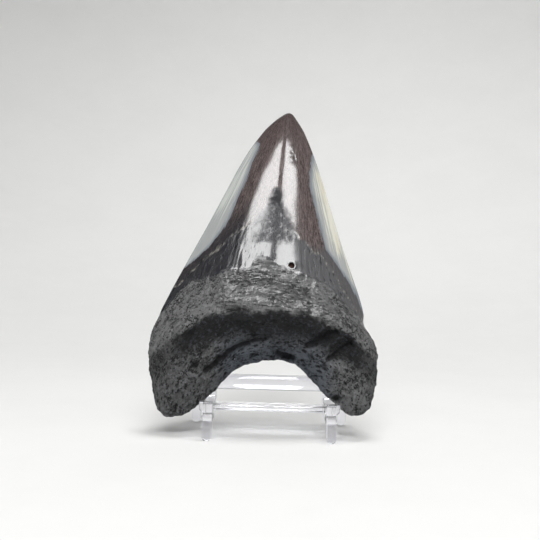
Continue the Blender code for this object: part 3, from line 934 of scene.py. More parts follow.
@dataclass
class Tooth:
    """The tooth, from the solid's own mesh refined, smoothed on the crown and carved on the root."""

    seat: ToothSeat = field(default_factory=ToothSeat)
    zones: Zones = field(default_factory=Zones)
    carving: RootCarving = field(default_factory=RootCarving)
    node: str = "tooth"
    levels: int = 2
    edge_angle: float = math.radians(42)
    edge_from: float = 36.0
    edge_crease: float = 0.9
    front_limit: float = 2.0  # the display face lies ahead of this, in millimetres
    lift_span: Span = (2.8, 4.6)
    lift_ring: Span = (3.6, 7.5)
    tip_middle: float = 5.4
    tip_draw: float = 0.10
    tip_shave: float = 0.20
    wrinkle_height: float = 0.26
    grain_height: float = 0.17
    lump_height: float = 0.22
    outline_height: float = 0.42
    lined_height: float = 0.16
    striae_height: float = 0.08
    patch_height: float = 0.05
    neck_step: float = 0.10
    chip_depth: float = 0.12
    pore_depth: float = 0.42
    foramen_radius: float = 1.02
    foramen_depth: float = 1.3
    foramen_rim: float = 0.05

    def build(self, finish: bpy.types.Material) -> bpy.types.Object:
        """Models the tooth and dresses it.

        Args:
            finish: The fossil material.

        Returns:
            The finished piece.
        """
        tooth = self.copy_solid()
        self.refine(tooth)
        self.polish(tooth)
        self.level_solid_hole(tooth)
        self.slim_tip(tooth)
        self.split_round_foramen(tooth)
        masks, relief = self.survey(tooth)
        self.carve(tooth, relief)
        self.paint(tooth, masks)
        tooth.data.materials.clear()
        tooth.data.materials.append(finish)
        return tooth

    def copy_solid(self) -> bpy.types.Object:
        """A copy of the solid with its triangles welded and paired into quads.

        Returns:
            The copy.
        """
        make_active(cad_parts[self.node])
        bpy.ops.object.duplicate()
        tooth = bpy.context.object
        tooth.name = "tooth_body"
        tooth.data.name = "tooth_body"
        tooth.parent = None
        bpy.ops.object.mode_set(mode="EDIT")
        bpy.ops.mesh.select_all(action="SELECT")
        bpy.ops.mesh.remove_doubles(threshold=1e-6)
        bpy.ops.mesh.customdata_custom_splitnormals_clear()
        bpy.ops.mesh.tris_convert_to_quads(face_threshold=math.radians(60), shape_threshold=math.pi)
        bpy.ops.object.mode_set(mode="OBJECT")
        return tooth

    def refine(self, tooth: bpy.types.Object) -> None:
        """Splits every face, keeping the blade's edge sharp.

        Args:
            tooth: The welded copy.
        """
        clear_selection(tooth, "EDGE")
        bpy.ops.object.mode_set(mode="EDIT")
        bpy.ops.mesh.edges_select_sharp(sharpness=self.edge_angle)
        bpy.ops.object.mode_set(mode="OBJECT")
        heights = self.seat.own_points(tooth.data)[:, 2]
        creases = tooth.data.attributes.new("crease_edge", "FLOAT", "EDGE")
        for edge, crease in zip(tooth.data.edges, creases.data):
            is_blade = edge.select and heights[list(edge.vertices)].min() > self.edge_from
            crease.value = self.edge_crease if is_blade else 0.0
        finer = tooth.modifiers.new("finer", "SUBSURF")
        finer.levels = self.levels
        finer.render_levels = self.levels
        bpy.ops.object.modifier_apply(modifier=finer.name)
        bpy.ops.object.shade_smooth()

    def polish(self, tooth: bpy.types.Object) -> None:
        """Evens out the crown away from the blade's edge, and more where the solid has its hole.

        Args:
            tooth: The refined tooth.
        """
        points, normals = self.seat.own_points(tooth.data), self.seat.own_normals(tooth.data)
        above = above_line(points[:, [0, 2]], self.zones.root_front)
        behind = above_line(points[:, [0, 2]], self.zones.root_back)
        facing = smooth_step(np.abs(normals[:, 1]), 0.35, 0.6)
        crown = facing * smooth_step(np.where(normals[:, 1] < 0, above, behind), 0.0, 3.0)
        round_hole = fade(self.from_solid_hole(points), 3.6, 5.0) * (points[:, 1] < self.front_limit)
        for name, shares, rounds in (("crown", crown, 30), ("round_hole", round_hole, 60)):
            group = tooth.vertex_groups.new(name=name)
            for index in np.flatnonzero(shares > 0.01):
                group.add([int(index)], float(shares[index]), "REPLACE")
            even = tooth.modifiers.new("even", "SMOOTH")
            even.factor = 0.5
            even.iterations = rounds
            even.vertex_group = group.name
            bpy.ops.object.modifier_apply(modifier=even.name)
        tooth.vertex_groups.clear()

    def from_solid_hole(self, points: np.ndarray) -> np.ndarray:
        """How far each point is from the hole that the solid already has, seen from the front."""
        return np.linalg.norm(points[:, [0, 2]] - self.zones.solid_hole, axis=1)

    def level_solid_hole(self, tooth: bpy.types.Object) -> None:
        """Brings the place of the solid's hole up to the curved surface round it.

        Args:
            tooth: The smooth tooth.
        """
        points = self.seat.own_points(tooth.data)
        away = self.from_solid_hole(points)
        front = points[:, 1] < self.front_limit
        x, z = (points[:, [0, 2]] - self.zones.solid_hole).T
        terms = np.stack([np.ones(len(points)), x, z, x**2, x * z, z**2], 1)
        near, far = self.lift_ring
        ring = front & (away > near) & (away < far)
        curve, *_ = np.linalg.lstsq(terms[ring], points[ring, 1], rcond=None)
        share = fade(away, *self.lift_span) * front
        points[:, 1] += share * (terms @ curve - points[:, 1])
        self.seat.place(tooth.data, points)

    def slim_tip(self, tooth: bpy.types.Object) -> None:
        """Draws the tip in a little, more on its left.

        Args:
            tooth: The smooth tooth.
        """
        points = self.seat.own_points(tooth.data)
        across, up = points[:, 0], points[:, 2]
        inward = self.tip_middle - across
        points[:, 0] += inward * self.tip_draw * smooth_step(up, 112, 119)
        points[:, 0] += self.tip_shave * smooth_step(up, 102, 112) * smooth_step(inward, 0, 4)
        self.seat.place(tooth.data, points)

    def split_round_foramen(self, tooth: bpy.types.Object) -> None:
        """Makes the mesh finer round the small hole.

        Args:
            tooth: The smooth tooth.
        """
        mesh = tooth.data
        for reach in (2.6, 2.0):
            points, normals = self.seat.own_points(mesh), self.seat.own_normals(mesh)
            near = np.linalg.norm(points[:, [0, 2]] - self.zones.foramen, axis=1) < reach
            near &= normals[:, 1] < 0.3
            near &= points[:, 1] < 0
            mesh.vertices.foreach_set("select", np.zeros(len(mesh.vertices), bool))
            mesh.edges.foreach_set("select", np.zeros(len(mesh.edges), bool))
            faces = [bool(near[list(face.vertices)].all()) for face in mesh.polygons]
            mesh.polygons.foreach_set("select", faces)
            make_active(tooth)
            bpy.ops.object.mode_set(mode="EDIT")
            bpy.ops.mesh.select_mode(type="FACE")
            bpy.ops.mesh.subdivide(number_cuts=1)
            bpy.ops.object.mode_set(mode="OBJECT")

    def survey(self, tooth: bpy.types.Object) -> tuple[Masks, np.ndarray]:
        """Works out every mask and the fine relief.

        Args:
            tooth: The smooth tooth.

        Returns:
            The masks by name, and the relief in millimetres, outwards positive.
        """
        skin = Skin(self.seat.own_points(tooth.data), self.seat.own_normals(tooth.data))
        masks = self.border_masks(skin)
        masks |= self.crown_masks(skin, masks["root"])
        masks |= self.patch_masks(skin)
        masks |= self.root_masks(skin, masks)
        masks |= self.neck_masks(skin, masks)
        masks["growth"] = self.growth(skin)
        masks["ringed"] = self.ringed(skin.points)
        carved = self.carving.cut(skin.places) * skin.ahead * masks["root"]
        relief = self.root_relief(skin, masks) | {"carved": -carved} | self.crown_relief(skin, masks)
        masks["hollow_shade"] = self.hollow_shade(skin, masks["root"], carved, relief["pores"])
        return masks, sum(relief.values())

    def above_chevron(self, skin: Skin) -> np.ndarray:
        """How far each point is above the dark neck's upper border.

        Args:
            skin: The surface.

        Returns:
            One distance for each point.
        """
        zones = self.zones
        over_root = above_line(skin.places, zones.root_back) - zones.neck_behind
        return np.where(skin.is_front, above_line(skin.places, zones.chevron), over_root)

    def border_masks(self, skin: Skin) -> Masks:
        """What is root, what is neck, what is right of the middle, and the thin line along the blade.

        Args:
            skin: The surface.

        Returns:
            The masks by name.
        """
        zones = self.zones
        above_root = skin.above(zones.root_front, zones.root_back)
        root = fade(above_root + 1.3 * skin.soft + 0.5 * skin.close, -0.5, 0.6)
        clear = smooth_step(skin.away(zones.foramen) + 0.5 * skin.close, 1.7, 2.5)
        return {
            "root": root * np.where(skin.is_front, clear, 1.0),
            "neck": fade(self.above_chevron(skin) + 1.6 * skin.soft + 0.9 * skin.close, -0.7, 0.7),
            "right": smooth_step(skin.across, 5, 14),
            "rim": fade(skin.facing, 0.15, 0.5),
        }

    def crown_masks(self, skin: Skin, root: np.ndarray) -> Masks:
        """The pale edges, where they are bright, painted shade above the neck on the left, and the neck's
        dark colour carried up on the right.

        Args:
            skin: The surface.
            root: The root's mask.

        Returns:
            The masks by name.
        """
        across, up, soft = skin.across, skin.up, skin.soft
        zones = self.zones
        left_edge = skin.at_height(zones.pale_left, -zones.nowhere) - across
        right_edge = across - skin.at_height(zones.pale_right, zones.nowhere)
        bright_right = smooth_step(across, -5, 5) * smooth_step(right_edge, 0.8, 7.0)
        bright_right *= 0.55 + 0.45 * smooth_step(up, 58, 74)
        bright_left = 0.4 * smooth_step(left_edge, 0.5, 3.0) * smooth_step(up, 70, 84)
        # Painted shade on the crown's left just above the neck; on the right the neck's own dark colour
        # reaches higher.
        left_shade = fade(self.above_chevron(skin) + soft, 1.5, 15) * smooth_step(-across, 4, 14)
        right_neck_tint = fade(up + 2 * soft, 59, 67) * smooth_step(across, 8, 13)
        return {
            "pale": smooth_step(np.maximum(left_edge, right_edge), -1.4, 2.6) * (1 - root),
            "bright": np.maximum(bright_right, bright_left),
            "shade_and_neck_tint": np.maximum(left_shade, right_neck_tint) * skin.ahead,
        }

    def patch_masks(self, skin: Skin) -> Masks:
        """The rough patch with its stem, the chips near the tip, and the small hole.

        Args:
            skin: The surface.

        Returns:
            The masks by name.
        """
        zones, up, soft, close = self.zones, skin.up, skin.soft, skin.close
        inside = skin.at_height(zones.patch_reach) - away_from_line(skin.places, zones.rough_patch)
        patch = smooth_step(inside + 1.5 * soft + 1.1 * close, -1.8, 1.5) * skin.ahead
        patch *= smooth_step(up + 2.0 * soft + 1.2 * close, *zones.patch_foot)
        middle, half = zones.stem
        stem = bell(skin.across - middle + 0.5 * soft, half) * skin.ahead
        stem *= smooth_step(up, 55, 57) * fade(up, 64, 66)
        from_chips = np.linalg.norm((skin.places - zones.chipped) / zones.chipped_reach, axis=1)
        chips = np.clip(1.15 - from_chips, 0, 1) * smooth_step(fractal(skin.points, 0.9, 17.3, 2), 0.02, 0.2)
        radius = self.foramen_radius
        return {
            "patch": np.maximum(patch, 0.9 * stem),
            "chips": chips * skin.ahead,
            "hole": fade(skin.away(zones.foramen), radius - 0.25, radius + 0.1) * skin.ahead,
        }

    def root_masks(self, skin: Skin, masks: Masks) -> Masks:
        """The crumpled band, the root's painted shading, where it is cool, and where it turns under.

        Args:
            skin: The surface.
            masks: The masks of the borders.

        Returns:
            The masks by name, with turned, which is not painted.
        """
        ahead, soft = skin.ahead, skin.soft
        below = -above_line(skin.places, self.zones.turn_under)
        turned = smooth_step(below, -1.5, 2.0)
        # Painted shade: a dark band just under the turn, and a lighter one over the lower lobes, more on the
        # left.
        dark = smooth_step(below + 1.7 * skin.close + 1.2 * soft, -0.8, 0.5)
        dark *= fade(below + 1.5 * soft, 6.0, 12.5) * fade(skin.off_centre(0), 30, 38) * ahead
        lobes = (0.46 - 0.28 * masks["right"]) * smooth_step(below, 4, 12) * ahead
        band = fade(skin.off_centre(1.5) + 2 * soft, 16, 23)
        return {
            "wrinkle": masks["root"] * ahead * (1 - turned) * band,
            "painted_shading": 1 - 0.95 * dark - lobes * (1 - dark),
            "cool": smooth_step(below + soft, 4, 17) * fade(skin.off_centre(2), 14, 25) * ahead,
            "turned": turned,
        }

    def neck_masks(self, skin: Skin, masks: Masks) -> Masks:
        """The scratches of the neck, and the pale specks painted along its upper border, partly its ragged
        edge and partly painted glints.

        Args:
            skin: The surface.
            masks: The masks of the borders.

        Returns:
            The masks by name.
        """
        over, ahead, enamel = self.above_chevron(skin), skin.ahead, 1 - masks["root"]
        sides = 0.35 * smooth_step(skin.off_centre(3.5), 4.5, 8.5)
        sides += 0.65 * smooth_step(skin.off_centre(2), 11, 14.5)
        striae = (enamel * masks["neck"] + 0.3 * fade(over, 0, 4)) * ahead * sides
        # Pale specks along the neck's border, partly the enamel's ragged edge and partly painted glints.
        on_border = bell(over + 1.6 * skin.soft + 0.9 * skin.close, 0.55) * ahead * enamel
        grit = smooth_step(fractal(skin.points, 0.9, 2.9, 2) + 0.3 * skin.soft, 0.08, 0.28)
        return {
            "striae": np.clip(striae, 0, 1) * enamel,
            "glint_speck": 0.8 * on_border * grit * smooth_step(skin.off_centre(0), 6, 10),
        }

    def hollow_shade(self, skin: Skin, root: np.ndarray, carved: np.ndarray, pores: np.ndarray) -> np.ndarray:
        """How much painted shade each point of the root gets, in a hollow or under the turn.

        Args:
            skin: The surface.
            root: The root's mask.
            carved: Depth of the named marks.
            pores: Relief of the pores.

        Returns:
            A share from 0 to 1.
        """
        below = -above_line(skin.places, self.zones.turn_under)
        # Painted shade: a band just under the turn, and every carved mark and pore.
        shade = smooth_step(below, -1.5, 1.5) * fade(below, 5.0, 13.0) * skin.ahead * root
        hollow = np.clip(carved / 0.8, 0, 1) + np.clip(-pores / (0.6 * self.pore_depth), 0, 1)
        return np.clip(hollow + 0.75 * shade, 0, 1)

    def growth(self, skin: Skin) -> np.ndarray:
        """Coordinates that follow the crown's growth.

        Args:
            skin: The surface.

        Returns:
            Rows of share of the width, height and 0, about a millimetre to a unit at the crown's foot.
        """
        middle, half = skin.at_height(self.zones.middle_line), skin.at_height(self.zones.half_widths)
        return np.stack([(skin.across - middle) / half * 30, skin.up, np.zeros_like(skin.up)], axis=1)

    def ringed(self, points: np.ndarray) -> np.ndarray:
        """Coordinates that run round the arch.

        Args:
            points: Rows of three coordinates.

        Returns:
            Rows of distance from the arch's centre, way along and depth.
        """
        arms = points[:, [0, 2]] - self.zones.arch_centre
        angle = np.arctan2(arms[:, 0], arms[:, 1])
        return np.stack([np.linalg.norm(arms, axis=1), angle * 30, points[:, 1]], axis=1)

    def root_relief(self, skin: Skin, masks: Masks) -> Masks:
        """The root's overall texture.

        Args:
            skin: The surface.
            masks: The masks, with the growth coordinates.

        Returns:
            Heights in millimetres, by kind.
        """
        points, ahead, root = skin.points, skin.ahead, masks["root"]
        wrinkle, turned = masks["wrinkle"], masks["turned"]
        warp = 0.9 * np.stack([fractal(points, 5.0, shift, 2) for shift in (1.7, 9.4, 6.2)], axis=1)
        folded = ridges(points / (2.3, 1.6, 1.15) + warp, 1.0, 4.4, 3)
        away, number = cells(masks["ringed"] / (1.25, 3.0, 3.0), 1.0, 2.2)
        pores = -self.pore_depth * fade(away, 0.18, 0.42) * (number < 0.42)
        pored = 0.35 * (1 - ahead) + ahead * (0.35 + 0.65 * turned) * (1 - wrinkle)
        lined = fractal(masks["growth"] / (1.1, 6.5, 1.0), 1.0, 7.7, 2)
        side_on = fade(skin.facing, 0.2, 0.55)
        return {
            "grain": self.grain_height * root * fractal(points, 1.3, 0.3, 3),
            "lumps": self.lump_height * root * fractal(points, 4.0, 14.2, 2),
            "outline": self.outline_height * root * side_on * fractal(points, 2.1, 21.7, 2),
            "wrinkle": self.wrinkle_height * wrinkle * (folded - 1.0),
            "lined": self.lined_height * root * (1 - wrinkle) * (1 - turned) * lined,
            "pores": pores * root * pored,
        }

    def crown_relief(self, skin: Skin, masks: Masks) -> Masks:
        """Scratches, the neck's step, the rough patch, the chips and the small hole.

        Args:
            skin: The surface.
            masks: The masks, with the growth coordinates.

        Returns:
            Heights in millimetres, by kind.
        """
        scored = fractal(masks["growth"] * (1.0, 0.16, 1.0), 1.2, 5.5, 2)
        rough = fractal(skin.points, 1.4, 8.8, 3)
        rim = bell(skin.away(self.zones.foramen) - self.foramen_radius - 0.45, 0.35) * skin.ahead
        return {
            "striae": self.striae_height * masks["striae"] * scored,
            "step": -self.neck_step * masks["neck"] * (1 - masks["root"]) * skin.ahead,
            "patch": self.patch_height * masks["patch"] * rough - self.chip_depth * masks["chips"],
            "hole": self.foramen_rim * rim - self.foramen_depth * masks["hole"],
        }

    def carve(self, tooth: bpy.types.Object, relief: np.ndarray) -> None:
        """Moves every point along its normal by the relief."""
        points, normals = self.seat.own_points(tooth.data), self.seat.own_normals(tooth.data)
        self.seat.place(tooth.data, points + normals * relief[:, None])

    def paint(self, tooth: bpy.types.Object, masks: Masks) -> None:
        """Stores the masks and both sets of coordinates on the mesh's points.

        Args:
            tooth: The carved tooth.
            masks: What to store, by name.
        """
        new_attribute = tooth.data.attributes.new
        for name in TOOTH_MASKS:
            new_attribute(name, "FLOAT", "POINT").data.foreach_set("value", masks[name])
        for name in TOOTH_PLACES:
            new_attribute(name, "FLOAT_VECTOR", "POINT").data.foreach_set("vector", masks[name].ravel())


# ------------------------------------------------------------------ the easel
EASEL_PLACE = Vector((2.77, -21.0, 0.0))  # the easel's own frame, in millimetres of the row frame
KEY_BOX = (27.4, 30.2, 45.0, 47.8)  # front, back, bottom and top of the square keys that the strut hangs on
MITE = 0.01  # too small to matter, in millimetres


def soften(piece: bpy.types.Object, radius: float, segments: int, limit: float = math.radians(30)) -> None:
    """Rounds a shape's edges.

    Args:
        piece: The shape.
        radius: Radius of the rounding in millimetres.
        segments: How many faces make it.
        limit: Edges that bend less than this stay as they are.
    """
    make_active(piece)
    edges = piece.modifiers.new("edges", "BEVEL")
    edges.width = radius * MM
    edges.segments = segments
    edges.angle_limit = limit
    bpy.ops.object.modifier_apply(modifier=edges.name)


def add_block(name: str, low: Triple, high: Triple, softness: float = 0.35,
              lean: float = 0.0) -> bpy.types.Object:
    """A bar with rounded edges, from its corners in the easel's frame.

    Args:
        name: The object's name.
        low: Its lowest corner in millimetres.
        high: Its highest corner in millimetres.
        softness: Radius of its edges in millimetres.
        lean: How far it is turned back about its own middle, in radians.

    Returns:
        The bar, with its place in its mesh.
    """
    low, high = Vector(low), Vector(high)
    deselect_all()
    bpy.ops.mesh.primitive_cube_add(size=1, location=((low + high) / 2 + EASEL_PLACE) * MM)
    block = bpy.context.object
    block.name = name
    block.scale = (high - low) * MM
    bpy.ops.object.transform_apply(location=False, rotation=False, scale=True)
    block.rotation_euler.x = -lean
    if softness:
        soften(block, softness, 3)
    bpy.ops.object.transform_apply(location=True, rotation=True, scale=True)
    return block


def select_edges(piece: bpy.types.Object, test: Callable[[Vector, Vector], bool]) -> None:
    """Enters edit mode with only the edges chosen by their two ends.

    Args:
        piece: The object.
        test: Says whether an edge is chosen, from its ends in millimetres of the easel's frame.
    """
    clear_selection(piece, "EDGE")
    places = [v.co / MM - EASEL_PLACE for v in piece.data.vertices]
    for edge in piece.data.edges:
        edge.select = test(*(places[v] for v in edge.vertices))
    bpy.ops.object.mode_set(mode="EDIT")


def select_faces(piece: bpy.types.Object, test: Callable[[Vector], bool]) -> None:
    """Enters edit mode with only the faces chosen by their centre.

    Args:
        piece: The object.
        test: Says whether a face is chosen, from its centre in metres.
    """
    clear_selection(piece, "FACE")
    for face in piece.data.polygons:
        face.select = test(face.center)
    bpy.ops.object.mode_set(mode="EDIT")


def combine(first: bpy.types.Object, others: Sequence[bpy.types.Object], operation: str = "UNION") -> None:
    """Joins the other shapes to the first, or cuts them from it, and removes them.

    Args:
        first: The shape that stays.
        others: The shapes that are used up.
        operation: Blender's name for the operation.
    """
    for other in others:
        make_active(first)
        step = first.modifiers.new("step", "BOOLEAN")
        step.operation = operation
        step.solver = "EXACT"
        step.object = other
        bpy.ops.object.modifier_apply(modifier=step.name)
        bpy.data.objects.remove(other)


@dataclass
class Moulding:
    """What both mouldings of the easel share."""

    foot_segments: int = 8
    foot_roundness: float = 0.97
    leg_softness: float = 0.22
    smooth_angle: float = math.radians(32)

    def leg(self, name: str, centre: float, near: float, far: float, width: float, top: float,
            carry: float = 0.0) -> bpy.types.Object:
        """A leg whose foot is round from the front, and whose top is carried back or forth.

        Args:
            name: The object's name.
            centre: Its middle across.
            near: Front of its foot.
            far: Back of its foot.
            width: Its width.
            top: Its height.
            carry: How far back its top is from its foot.

        Returns:
            The leg.
        """
        half = width / 2
        leg = add_block(name, (centre - half, near, 0), (centre + half, far, top), softness=0.0)
        select_edges(leg, lambda a, b: max(a.z, b.z) < MITE and abs(a.x - b.x) < MITE)
        bpy.ops.mesh.bevel(offset=half * self.foot_roundness * MM, segments=self.foot_segments)
        bpy.ops.object.mode_set(mode="OBJECT")
        for vertex in leg.data.vertices:
            if vertex.co.z > (top - MITE) * MM:
                vertex.co.y += carry * MM
        soften(leg, self.leg_softness, 2, math.radians(50))
        return leg

    def finish(self, piece: bpy.types.Object, name: str, material: bpy.types.Material) -> None:
        """Names, smooths and dresses a moulding.

        Args:
            piece: The moulding.
            name: Its name.
            material: The clear plastic.
        """
        piece.name = name
        piece.data.name = name
        make_active(piece)
        bpy.ops.object.mode_set(mode="EDIT")
        bpy.ops.mesh.select_all(action="SELECT")
        bpy.ops.mesh.remove_doubles(threshold=0.004 * MM)
        bpy.ops.mesh.normals_make_consistent(inside=False)
        bpy.ops.object.mode_set(mode="OBJECT")
        bpy.ops.object.shade_smooth_by_angle(angle=self.smooth_angle)
        piece.data.materials.clear()
        piece.data.materials.append(material)


@dataclass
class FrontFrame(Moulding):
    """Arms, lips, front legs, uprights, keys and crossbars, moulded as one piece."""

    side_centre: float = 22.15
    side_width: float = 3.75
    arm_ends: Span = (0.4, 26.0)
    arm_height: Span = (7.1, 12.7)
    lip_centre: float = 22.8
    lip_width: float = 4.95
    lip_depth: float = 4.0
    lip_height: Span = (10.2, 14.0)
    lip_chamfer: float = 1.2
    lip_softness: float = 0.3
    leg_centre: float = 22.5
    leg_width: float = 3.5
    leg_ends: Span = (0.55, 4.05)
    leg_top: float = 9.0
    lean: float = math.radians(14)
    upright_front: float = 17.05
    upright_datum: float = 8.15
    upright_depth: float = 3.6
    upright_height: Span = (10.5, 51.0)
    cross_bar: tuple[float, float, float, float] = (12.5, 20.5, 9.0, 11.2)
    low_bar: Span = (15.9, 21.2)
    high_bar: Span = (42.5, 47.0)
    bar_thickness: float = 2.2
    key_reach: float = 30.9
    gate_mark: Triple = (3.4, 0.6, 1.5)
    ejector_spread: float = 12.4
    ejector_inset: float = 2.4
    ejector_radius: float = 1.25
    ejector_depth: float = 0.3

    def build(self, material: bpy.types.Material) -> bpy.types.Object:
        """Models the frame and dresses it.

        Args:
            material: The clear plastic.

        Returns:
            The finished piece.
        """
        near, far, bottom, top = self.cross_bar
        body = add_block("cross_bar", (-self.side_centre, near, bottom), (self.side_centre, far, top))
        parts = [self.leaning_bar("low_bar", *self.low_bar), self.leaning_bar("high_bar", *self.high_bar)]
        for side in (-1, 1):
            parts += self.side(side)
        combine(body, parts)
        combine(body, self.mould_marks(), "DIFFERENCE")
        self.finish(body, "easel_frame_moulding", material)
        return body

    def upright_middle(self, height: float) -> float:
        """How far back the middle of the uprights is at a height."""
        rise = (height - self.upright_datum) * math.tan(self.lean)
        return self.upright_front + rise + self.upright_depth / 2 / math.cos(self.lean)

    def leaning_bar(self, name: str, bottom: float, top: float) -> bpy.types.Object:
        """A crossbar along the lean of the uprights.

        Args:
            name: The object's name.
            bottom: Its lower edge.
            top: Its upper edge.

        Returns:
            The bar.
        """
        middle = self.upright_middle((bottom + top) / 2)
        half = self.bar_thickness / 2
        low, high = (-self.side_centre, middle - half, bottom), (self.side_centre, middle + half, top)
        return add_block(name, low, high, lean=self.lean)

    def side(self, side: int) -> list[bpy.types.Object]:
        """The parts of one side.

        Args:
            side: -1 for the left and 1 for the right.

        Returns:
            The arm, the lip, the leg, the upright and the key.
        """
        x, half = side * self.side_centre, self.side_width / 2
        arm = add_block("arm", (x - half, self.arm_ends[0], self.arm_height[0]),
                        (x + half, self.arm_ends[1], self.arm_height[1]))
        leg = self.leg("leg", side * self.leg_centre, *self.leg_ends, self.leg_width, self.leg_top)
        bottom, top = self.upright_height
        middle = (bottom + top) / 2
        centre = self.upright_middle(middle)
        reach = (top - bottom) / 2 / math.cos(self.lean)
        upright = add_block("upright", (x - half, centre - self.upright_depth / 2, middle - reach),
                            (x + half, centre + self.upright_depth / 2, middle + reach), lean=self.lean)
        near, far, bottom, top = KEY_BOX
        inner, outer = sorted((x, side * self.key_reach))
        key = add_block("key", (inner, near, bottom), (outer, far, top))
        return [arm, self.lip(side), leg, upright, key]

    def lip(self, side: int) -> bpy.types.Object:
        """The block at an arm's front end, with its lower outer edge cut away.

        Args:
            side: -1 for the left and 1 for the right.

        Returns:
            The block.
        """
        centre, half = side * self.lip_centre, self.lip_width / 2
        bottom, top = self.lip_height
        lip = add_block("lip", (centre - half, 0, bottom), (centre + half, self.lip_depth, top), softness=0.0)

        def is_lower_outer(a: Vector, b: Vector) -> bool:
            """Whether an edge is the one that is cut away, from its two ends."""
            return max(a.z, b.z) < bottom + MITE and min(a.x * side, b.x * side) > self.lip_centre

        select_edges(lip, is_lower_outer)
        bpy.ops.mesh.bevel(offset=self.lip_chamfer * MM, segments=1)
        bpy.ops.object.mode_set(mode="OBJECT")
        soften(lip, self.lip_softness, 3)
        return lip

    def mould_marks(self) -> list[bpy.types.Object]:
        """What is cut for the gate's scar on the cross bar and for the two ejector marks under it.

        Returns:
            The cutters.
        """
        width, depth, height = self.gate_mark
        near, _, bottom, top = self.cross_bar
        scar = add_block("scar", (-width / 2, near - 1, top - height), (width / 2, near + depth, top + 1),
                         softness=0.0)
        marks = [scar]
        for side in (-1, 1):
            deselect_all()
            place = Vector((side * self.ejector_spread, near + self.ejector_inset, bottom)) + EASEL_PLACE
            bpy.ops.mesh.primitive_cylinder_add(vertices=32, radius=self.ejector_radius * MM,
                                                depth=self.ejector_depth * MM, location=place * MM)
            bpy.ops.object.transform_apply(location=True, rotation=True, scale=True)
            marks.append(bpy.context.object)
        return marks


@dataclass
class RearStrut(Moulding):
    """Two slanted legs with hooks at their tops and a crossbar between them, moulded as one piece."""

    centre: float = 29.1
    width: float = 3.6
    clearance: float = 0.3
    hook: tuple[float, float, float, float] = (26.0, 35.2, 41.5, 50.2)
    foot: Span = (37.6, 42.0)
    carry: float = -7.0
    top: float = 43.58
    bar: tuple[float, float, float, float] = (35.8, 38.2, 16.9, 19.7)

    def build(self, material: bpy.types.Material) -> bpy.types.Object:
        """Models the strut and dresses it.

        Args:
            material: The clear plastic.

        Returns:
            The finished piece.
        """
        near, far, bottom, top = self.bar
        body = add_block("strut_bar", (-self.centre, near, bottom), (self.centre, far, top))
        half = self.width / 2
        hook_near, hook_far, hook_bottom, hook_top = self.hook
        key_near, key_far, _, key_top = KEY_BOX
        for side in (-1, 1):
            x = side * self.centre
            leg = self.leg("strut_leg", x, *self.foot, self.width - 0.02, self.top, self.carry)
            hook = add_block("hook", (x - half, hook_near, hook_bottom), (x + half, hook_far, hook_top))
            combine(body, [leg, hook])
        for side in (-1, 1):
            x = side * self.centre
            slot = add_block("slot", (x - half - 1, key_near - self.clearance, hook_bottom - 3),
                             (x + half + 1, key_far + self.clearance, key_top + self.clearance), softness=0.0)
            combine(body, [slot], "DIFFERENCE")
        self.finish(body, "easel_strut_moulding", material)
        return body


# ------------------------------------------------------------------ studio
@dataclass(frozen=True)
class Viewpoint:
    """Where the camera stands: level, straight in front and rolled a little."""

    place: Triple = (1.62 * MM, -321.0 * MM, 61.8 * MM)
    roll: float = math.radians(1.55)
    lens: float = 56.0
    sensor: float = 36.0
    nearest: float = 10 * MM

    def build(self) -> bpy.types.Object:
        """Adds the camera and makes it the scene's own.

        Returns:
            The camera.
        """
        bpy.ops.object.camera_add()
        camera = bpy.context.object
        right = Vector((math.cos(self.roll), 0, math.sin(self.roll)))
        up = Vector((-math.sin(self.roll), 0, math.cos(self.roll)))
        back = Vector((0, -1, 0))
        turn = Matrix((right, up, back)).transposed().to_4x4()
        camera.matrix_world = Matrix.Translation(self.place) @ turn
        camera.data.lens = self.lens
        camera.data.sensor_width = self.sensor
        camera.data.clip_start = self.nearest
        bpy.context.scene.camera = camera
        return camera


class Seen(Enum):
    """What a lamp lights: matt surfaces or glossy reflections."""

    MATT = "matt"
    GLOSS = "gloss"


@dataclass(frozen=True)
class Panel:
    """A flat lamp that faces a point, or straight down when it has none."""

    name: str
    place: Triple
    size: Span
    power: float
    seen: Seen
    aim: Triple | None = None
    spread: float = 180.0

    def build(self) -> bpy.types.Object:
        """Adds the lamp.

        Returns:
            The lamp.
        """
        bpy.ops.object.light_add(type="AREA", location=self.place)
        lamp = bpy.context.object
        lamp.name = self.name
        lamp.data.shape = "RECTANGLE"
        lamp.data.size, lamp.data.size_y = self.size
        lamp.data.energy = self.power
        lamp.data.spread = math.radians(self.spread)
        if self.aim is not None:
            lamp.rotation_euler = (Vector(self.place) - Vector(self.aim)).to_track_quat("Z", "Y").to_euler()
        lamp.visible_glossy = self.seen is Seen.GLOSS
        lamp.visible_diffuse = self.seen is Seen.MATT
        return lamp


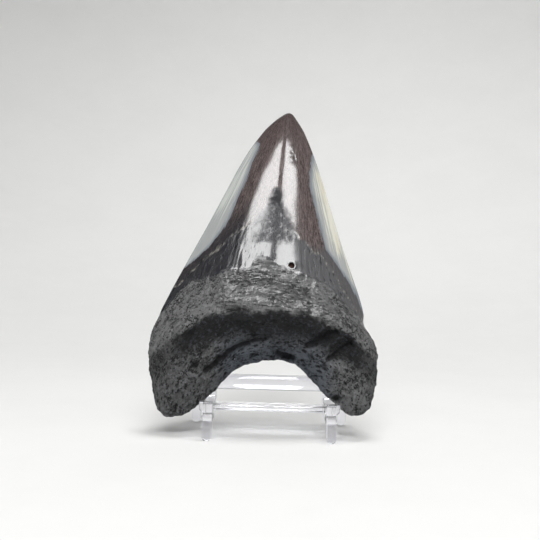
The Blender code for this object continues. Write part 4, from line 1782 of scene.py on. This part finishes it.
@dataclass
class Studio:
    """A pale sweep all round, three level panels for the highlights and four lamps for the matt surfaces."""

    radius: float = 1.25
    wall: float = 1.6
    curve: float = 1.0
    world: float = 0.07
    world_colour: Colour = (1.0, 1.0, 0.995)
    panels: tuple[Panel, ...] = (
        Panel("left_strip", (-0.19, -0.60, 0.56), (0.48, 0.72), 13.5, Seen.GLOSS),
        Panel("right_strip", (0.3325, -0.59, 0.56), (0.305, 0.73), 9.2, Seen.GLOSS),
        Panel("right_wing", (0.555, -0.79, 0.56), (0.14, 0.33), 1.9, Seen.GLOSS),
        Panel("key", (0.0, -0.60, 0.60), (0.45, 0.35), 4.5, Seen.MATT, (0.0, 0.0, 0.03)),
        Panel("overhead", (0.05, 0.0, 0.90), (0.28, 0.30), 3.6, Seen.MATT, (0.0, 0.0, 0.0)),
        Panel("floor_wash", (0.2, -0.1, 1.3), (0.5, 0.3), 1.2, Seen.MATT, (0.1, 0.8, 0.0), 80.0),
        Panel("backdrop", (0.25, 0.10, 1.4), (0.5, 0.3), 0.62, Seen.MATT, (0.1, 1.1, 0.35), 70.0),
    )

    def build(self, finish: bpy.types.Material) -> None:
        """Adds the sweep, the lamps and the world.

        Args:
            finish: The sweep's material.
        """
        self.sweep(finish)
        for panel in self.panels:
            panel.build()
        world = bpy.data.worlds.new("studio")
        world.use_nodes = True
        glow = world.node_tree.nodes["Background"].inputs
        glow["Color"].default_value = (*self.world_colour, 1.0)
        glow["Strength"].default_value = self.world
        bpy.context.scene.world = world
        bpy.context.scene.view_settings.view_transform = "Standard"

    def sweep(self, finish: bpy.types.Material) -> bpy.types.Object:
        """A round floor that curves up into a wall, open above.

        Args:
            finish: Its material.

        Returns:
            The sweep.
        """
        deselect_all()
        bpy.ops.mesh.primitive_cylinder_add(vertices=128, radius=self.radius, depth=self.wall,
                                            location=(0, 0, self.wall / 2))
        sweep = bpy.context.object
        sweep.name = "sweep"
        bpy.ops.object.transform_apply(location=True, rotation=True, scale=True)
        select_faces(sweep, lambda centre: centre.z > self.wall - MM)
        bpy.ops.mesh.delete(type="FACE")
        bpy.ops.object.mode_set(mode="OBJECT")
        select_edges(sweep, lambda a, b: max(a.z, b.z) < MITE)
        bpy.ops.mesh.bevel(offset=self.curve, segments=16)
        bpy.ops.mesh.select_all(action="SELECT")
        bpy.ops.mesh.normals_make_consistent(inside=True)
        bpy.ops.object.mode_set(mode="OBJECT")
        bpy.ops.object.shade_smooth()
        sweep.data.materials.append(finish)
        return sweep


def settle(piece: bpy.types.Object, node: str) -> None:
    """Tells the frame what a finished piece stands for and how it rides.

    Args:
        piece: The finished piece.
        node: The node that it replaces.
    """
    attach(piece, BODY)
    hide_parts(node)
    LOG.info("%s: %d faces for %s", piece.name, len(piece.data.polygons), node)


def main() -> None:
    """Builds the tooth, the easel and the studio in turn."""
    logging.basicConfig(level=logging.INFO, format="%(name)s: %(message)s")
    effects = Effects()
    acrylic = AcrylicFinish().build(effects)
    settle(Tooth().build(FossilFinish().build(effects)), "tooth")
    settle(FrontFrame().build(acrylic), "easel_front_frame")
    settle(RearStrut().build(acrylic), "easel_rear_strut")
    Studio().build(FloorFinish().build(effects))
    Viewpoint().build()


if __name__ == "__main__":
    main()
